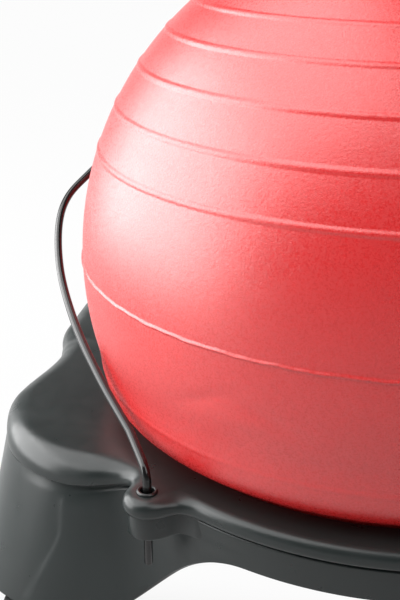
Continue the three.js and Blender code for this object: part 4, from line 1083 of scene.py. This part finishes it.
camera_data = bpy.data.cameras.new("camera")
camera_data.sensor_fit = "VERTICAL"
camera_data.sensor_height = 36
camera_data.lens = 66.1
camera = linked("camera", camera_data)
camera.location = (np.array([-15.3, -867.68, 597.6]) + SHIFT) * MM
camera.rotation_euler = (math.radians(68.7), 0, math.radians(10))
bpy.context.scene.camera = camera

base_cover()
base_frame()
frame_webs()
boss_blocks()
ball()
retaining_bar()
casters()
back_post()
back_bracket()
back_shell()
back_bolts()
knobs()

# The axles and pins keep their CAD solids
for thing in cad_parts.values():
    if not thing.hide_render:
        thing.data.materials.clear()
        thing.data.materials.append(BRIGHT_STEEL)


# Floor, backdrop and lights

def combined(tree, operation, a, b):
    node = added(tree, "ShaderNodeMath", {0: a, 1: b})
    node.operation = operation
    return node.outputs[0]


def floor():
    """A pale floor, seen as white but for a soft patch in front of the chair."""
    grey, half = 0.45, 6.0
    patch_centre, patch_size = (-0.3, -1.3, 0), (1.4, 1.22, 1)
    material, shader = principled("floor", (grey,) * 3, 0.9, specular=0.1)
    tree = material.node_tree
    white = added(tree, "ShaderNodeEmission", {"Strength": 1})
    ray = tree.nodes.new("ShaderNodeLightPath").outputs
    seen = combined(tree, "MAXIMUM", ray["Is Camera Ray"], ray["Is Glossy Ray"])
    seen = combined(tree, "MAXIMUM", seen, ray["Is Transmission Ray"])
    place = tree.nodes.new("ShaderNodeTexCoord")
    patch = added(tree, "ShaderNodeMapping", {
        "Vector": place.outputs["Object"], "Location": patch_centre, "Scale": patch_size})
    patch.vector_type = "TEXTURE"
    length = added(tree, "ShaderNodeVectorMath", {0: patch.outputs[0]})
    length.operation = "LENGTH"
    fade = ramp(tree, length.outputs["Value"], 0.72, 1.0, 0.0, 0.97, "SMOOTHSTEP")
    mix = added(tree, "ShaderNodeMixShader", {
        0: combined(tree, "MULTIPLY", seen, fade), 1: shader.outputs[0], 2: white.outputs[0]})
    tree.links.new(mix.outputs[0], tree.nodes["Material Output"].inputs["Surface"])
    mesh = bpy.data.meshes.new("floor")
    corners = [(-half, -half, 0), (half, -half, 0), (half, half, 0), (-half, half, 0)]
    mesh.from_pydata(corners, [], [(0, 1, 2, 3)])
    mesh.materials.append(material)
    thing = linked("floor", mesh)


def studio_world():
    """A soft grey room with haze at its horizon and a white sweep low down behind the chair."""
    world = bpy.data.worlds.new("studio")
    bpy.context.scene.world = world
    world.use_nodes = True
    tree = world.node_tree
    light = tree.nodes["Background"]
    light.inputs["Color"].default_value = (1, 1, 1, 1)
    place = tree.nodes.new("ShaderNodeTexCoord").outputs["Generated"]
    height = added(tree, "ShaderNodeSeparateXYZ", {0: place}).outputs["Z"]
    toward = added(tree, "ShaderNodeVectorMath", {0: place, 1: (-0.22, 0.975, 0.0)})
    toward.operation = "DOT_PRODUCT"
    behind = ramp(tree, toward.outputs["Value"], 0.9, 0.95, 0.0, 1.0, "SMOOTHSTEP")
    low_down = ramp(tree, height, 0.22, 0.34, 1.0, 0.0, "SMOOTHSTEP")
    haze = ramp(tree, height, 0.03, 0.27, 0.36, 0.11, "SMOOTHSTEP")
    sweep_light = combined(tree, "MULTIPLY", behind, low_down)
    level = combined(tree, "MAXIMUM", sweep_light, haze)
    tree.links.new(level, light.inputs["Strength"])


def softbox(name, azimuth, elevation, distance, width, height, power):
    """An area light that faces the ball from a direction given in degrees, azimuth 0 in front."""
    centre = np.array([0, SHIFT[1] * MM, BALL_CENTRE * MM])
    a, e = math.radians(azimuth), math.radians(elevation)
    away = np.array([math.sin(a) * math.cos(e), -math.cos(a) * math.cos(e), math.sin(e)])
    light = bpy.data.lights.new(name, "AREA")
    light.shape = "RECTANGLE"
    light.size, light.size_y = width, height
    light.energy = power
    thing = linked(name, light)
    thing.location = centre + away * distance
    thing.rotation_euler = Vector(-away).to_track_quat("-Z", "Y").to_euler()


floor()
studio_world()
softbox("key", -88, 14, distance=1.45, width=1.8, height=1.15, power=42)
softbox("top", -80, 58, distance=1.7, width=2.4, height=1.6, power=40)
softbox("fill", 50, 50, distance=2.6, width=2.0, height=2.0, power=36)

bpy.context.scene.view_settings.view_transform = "Standard"
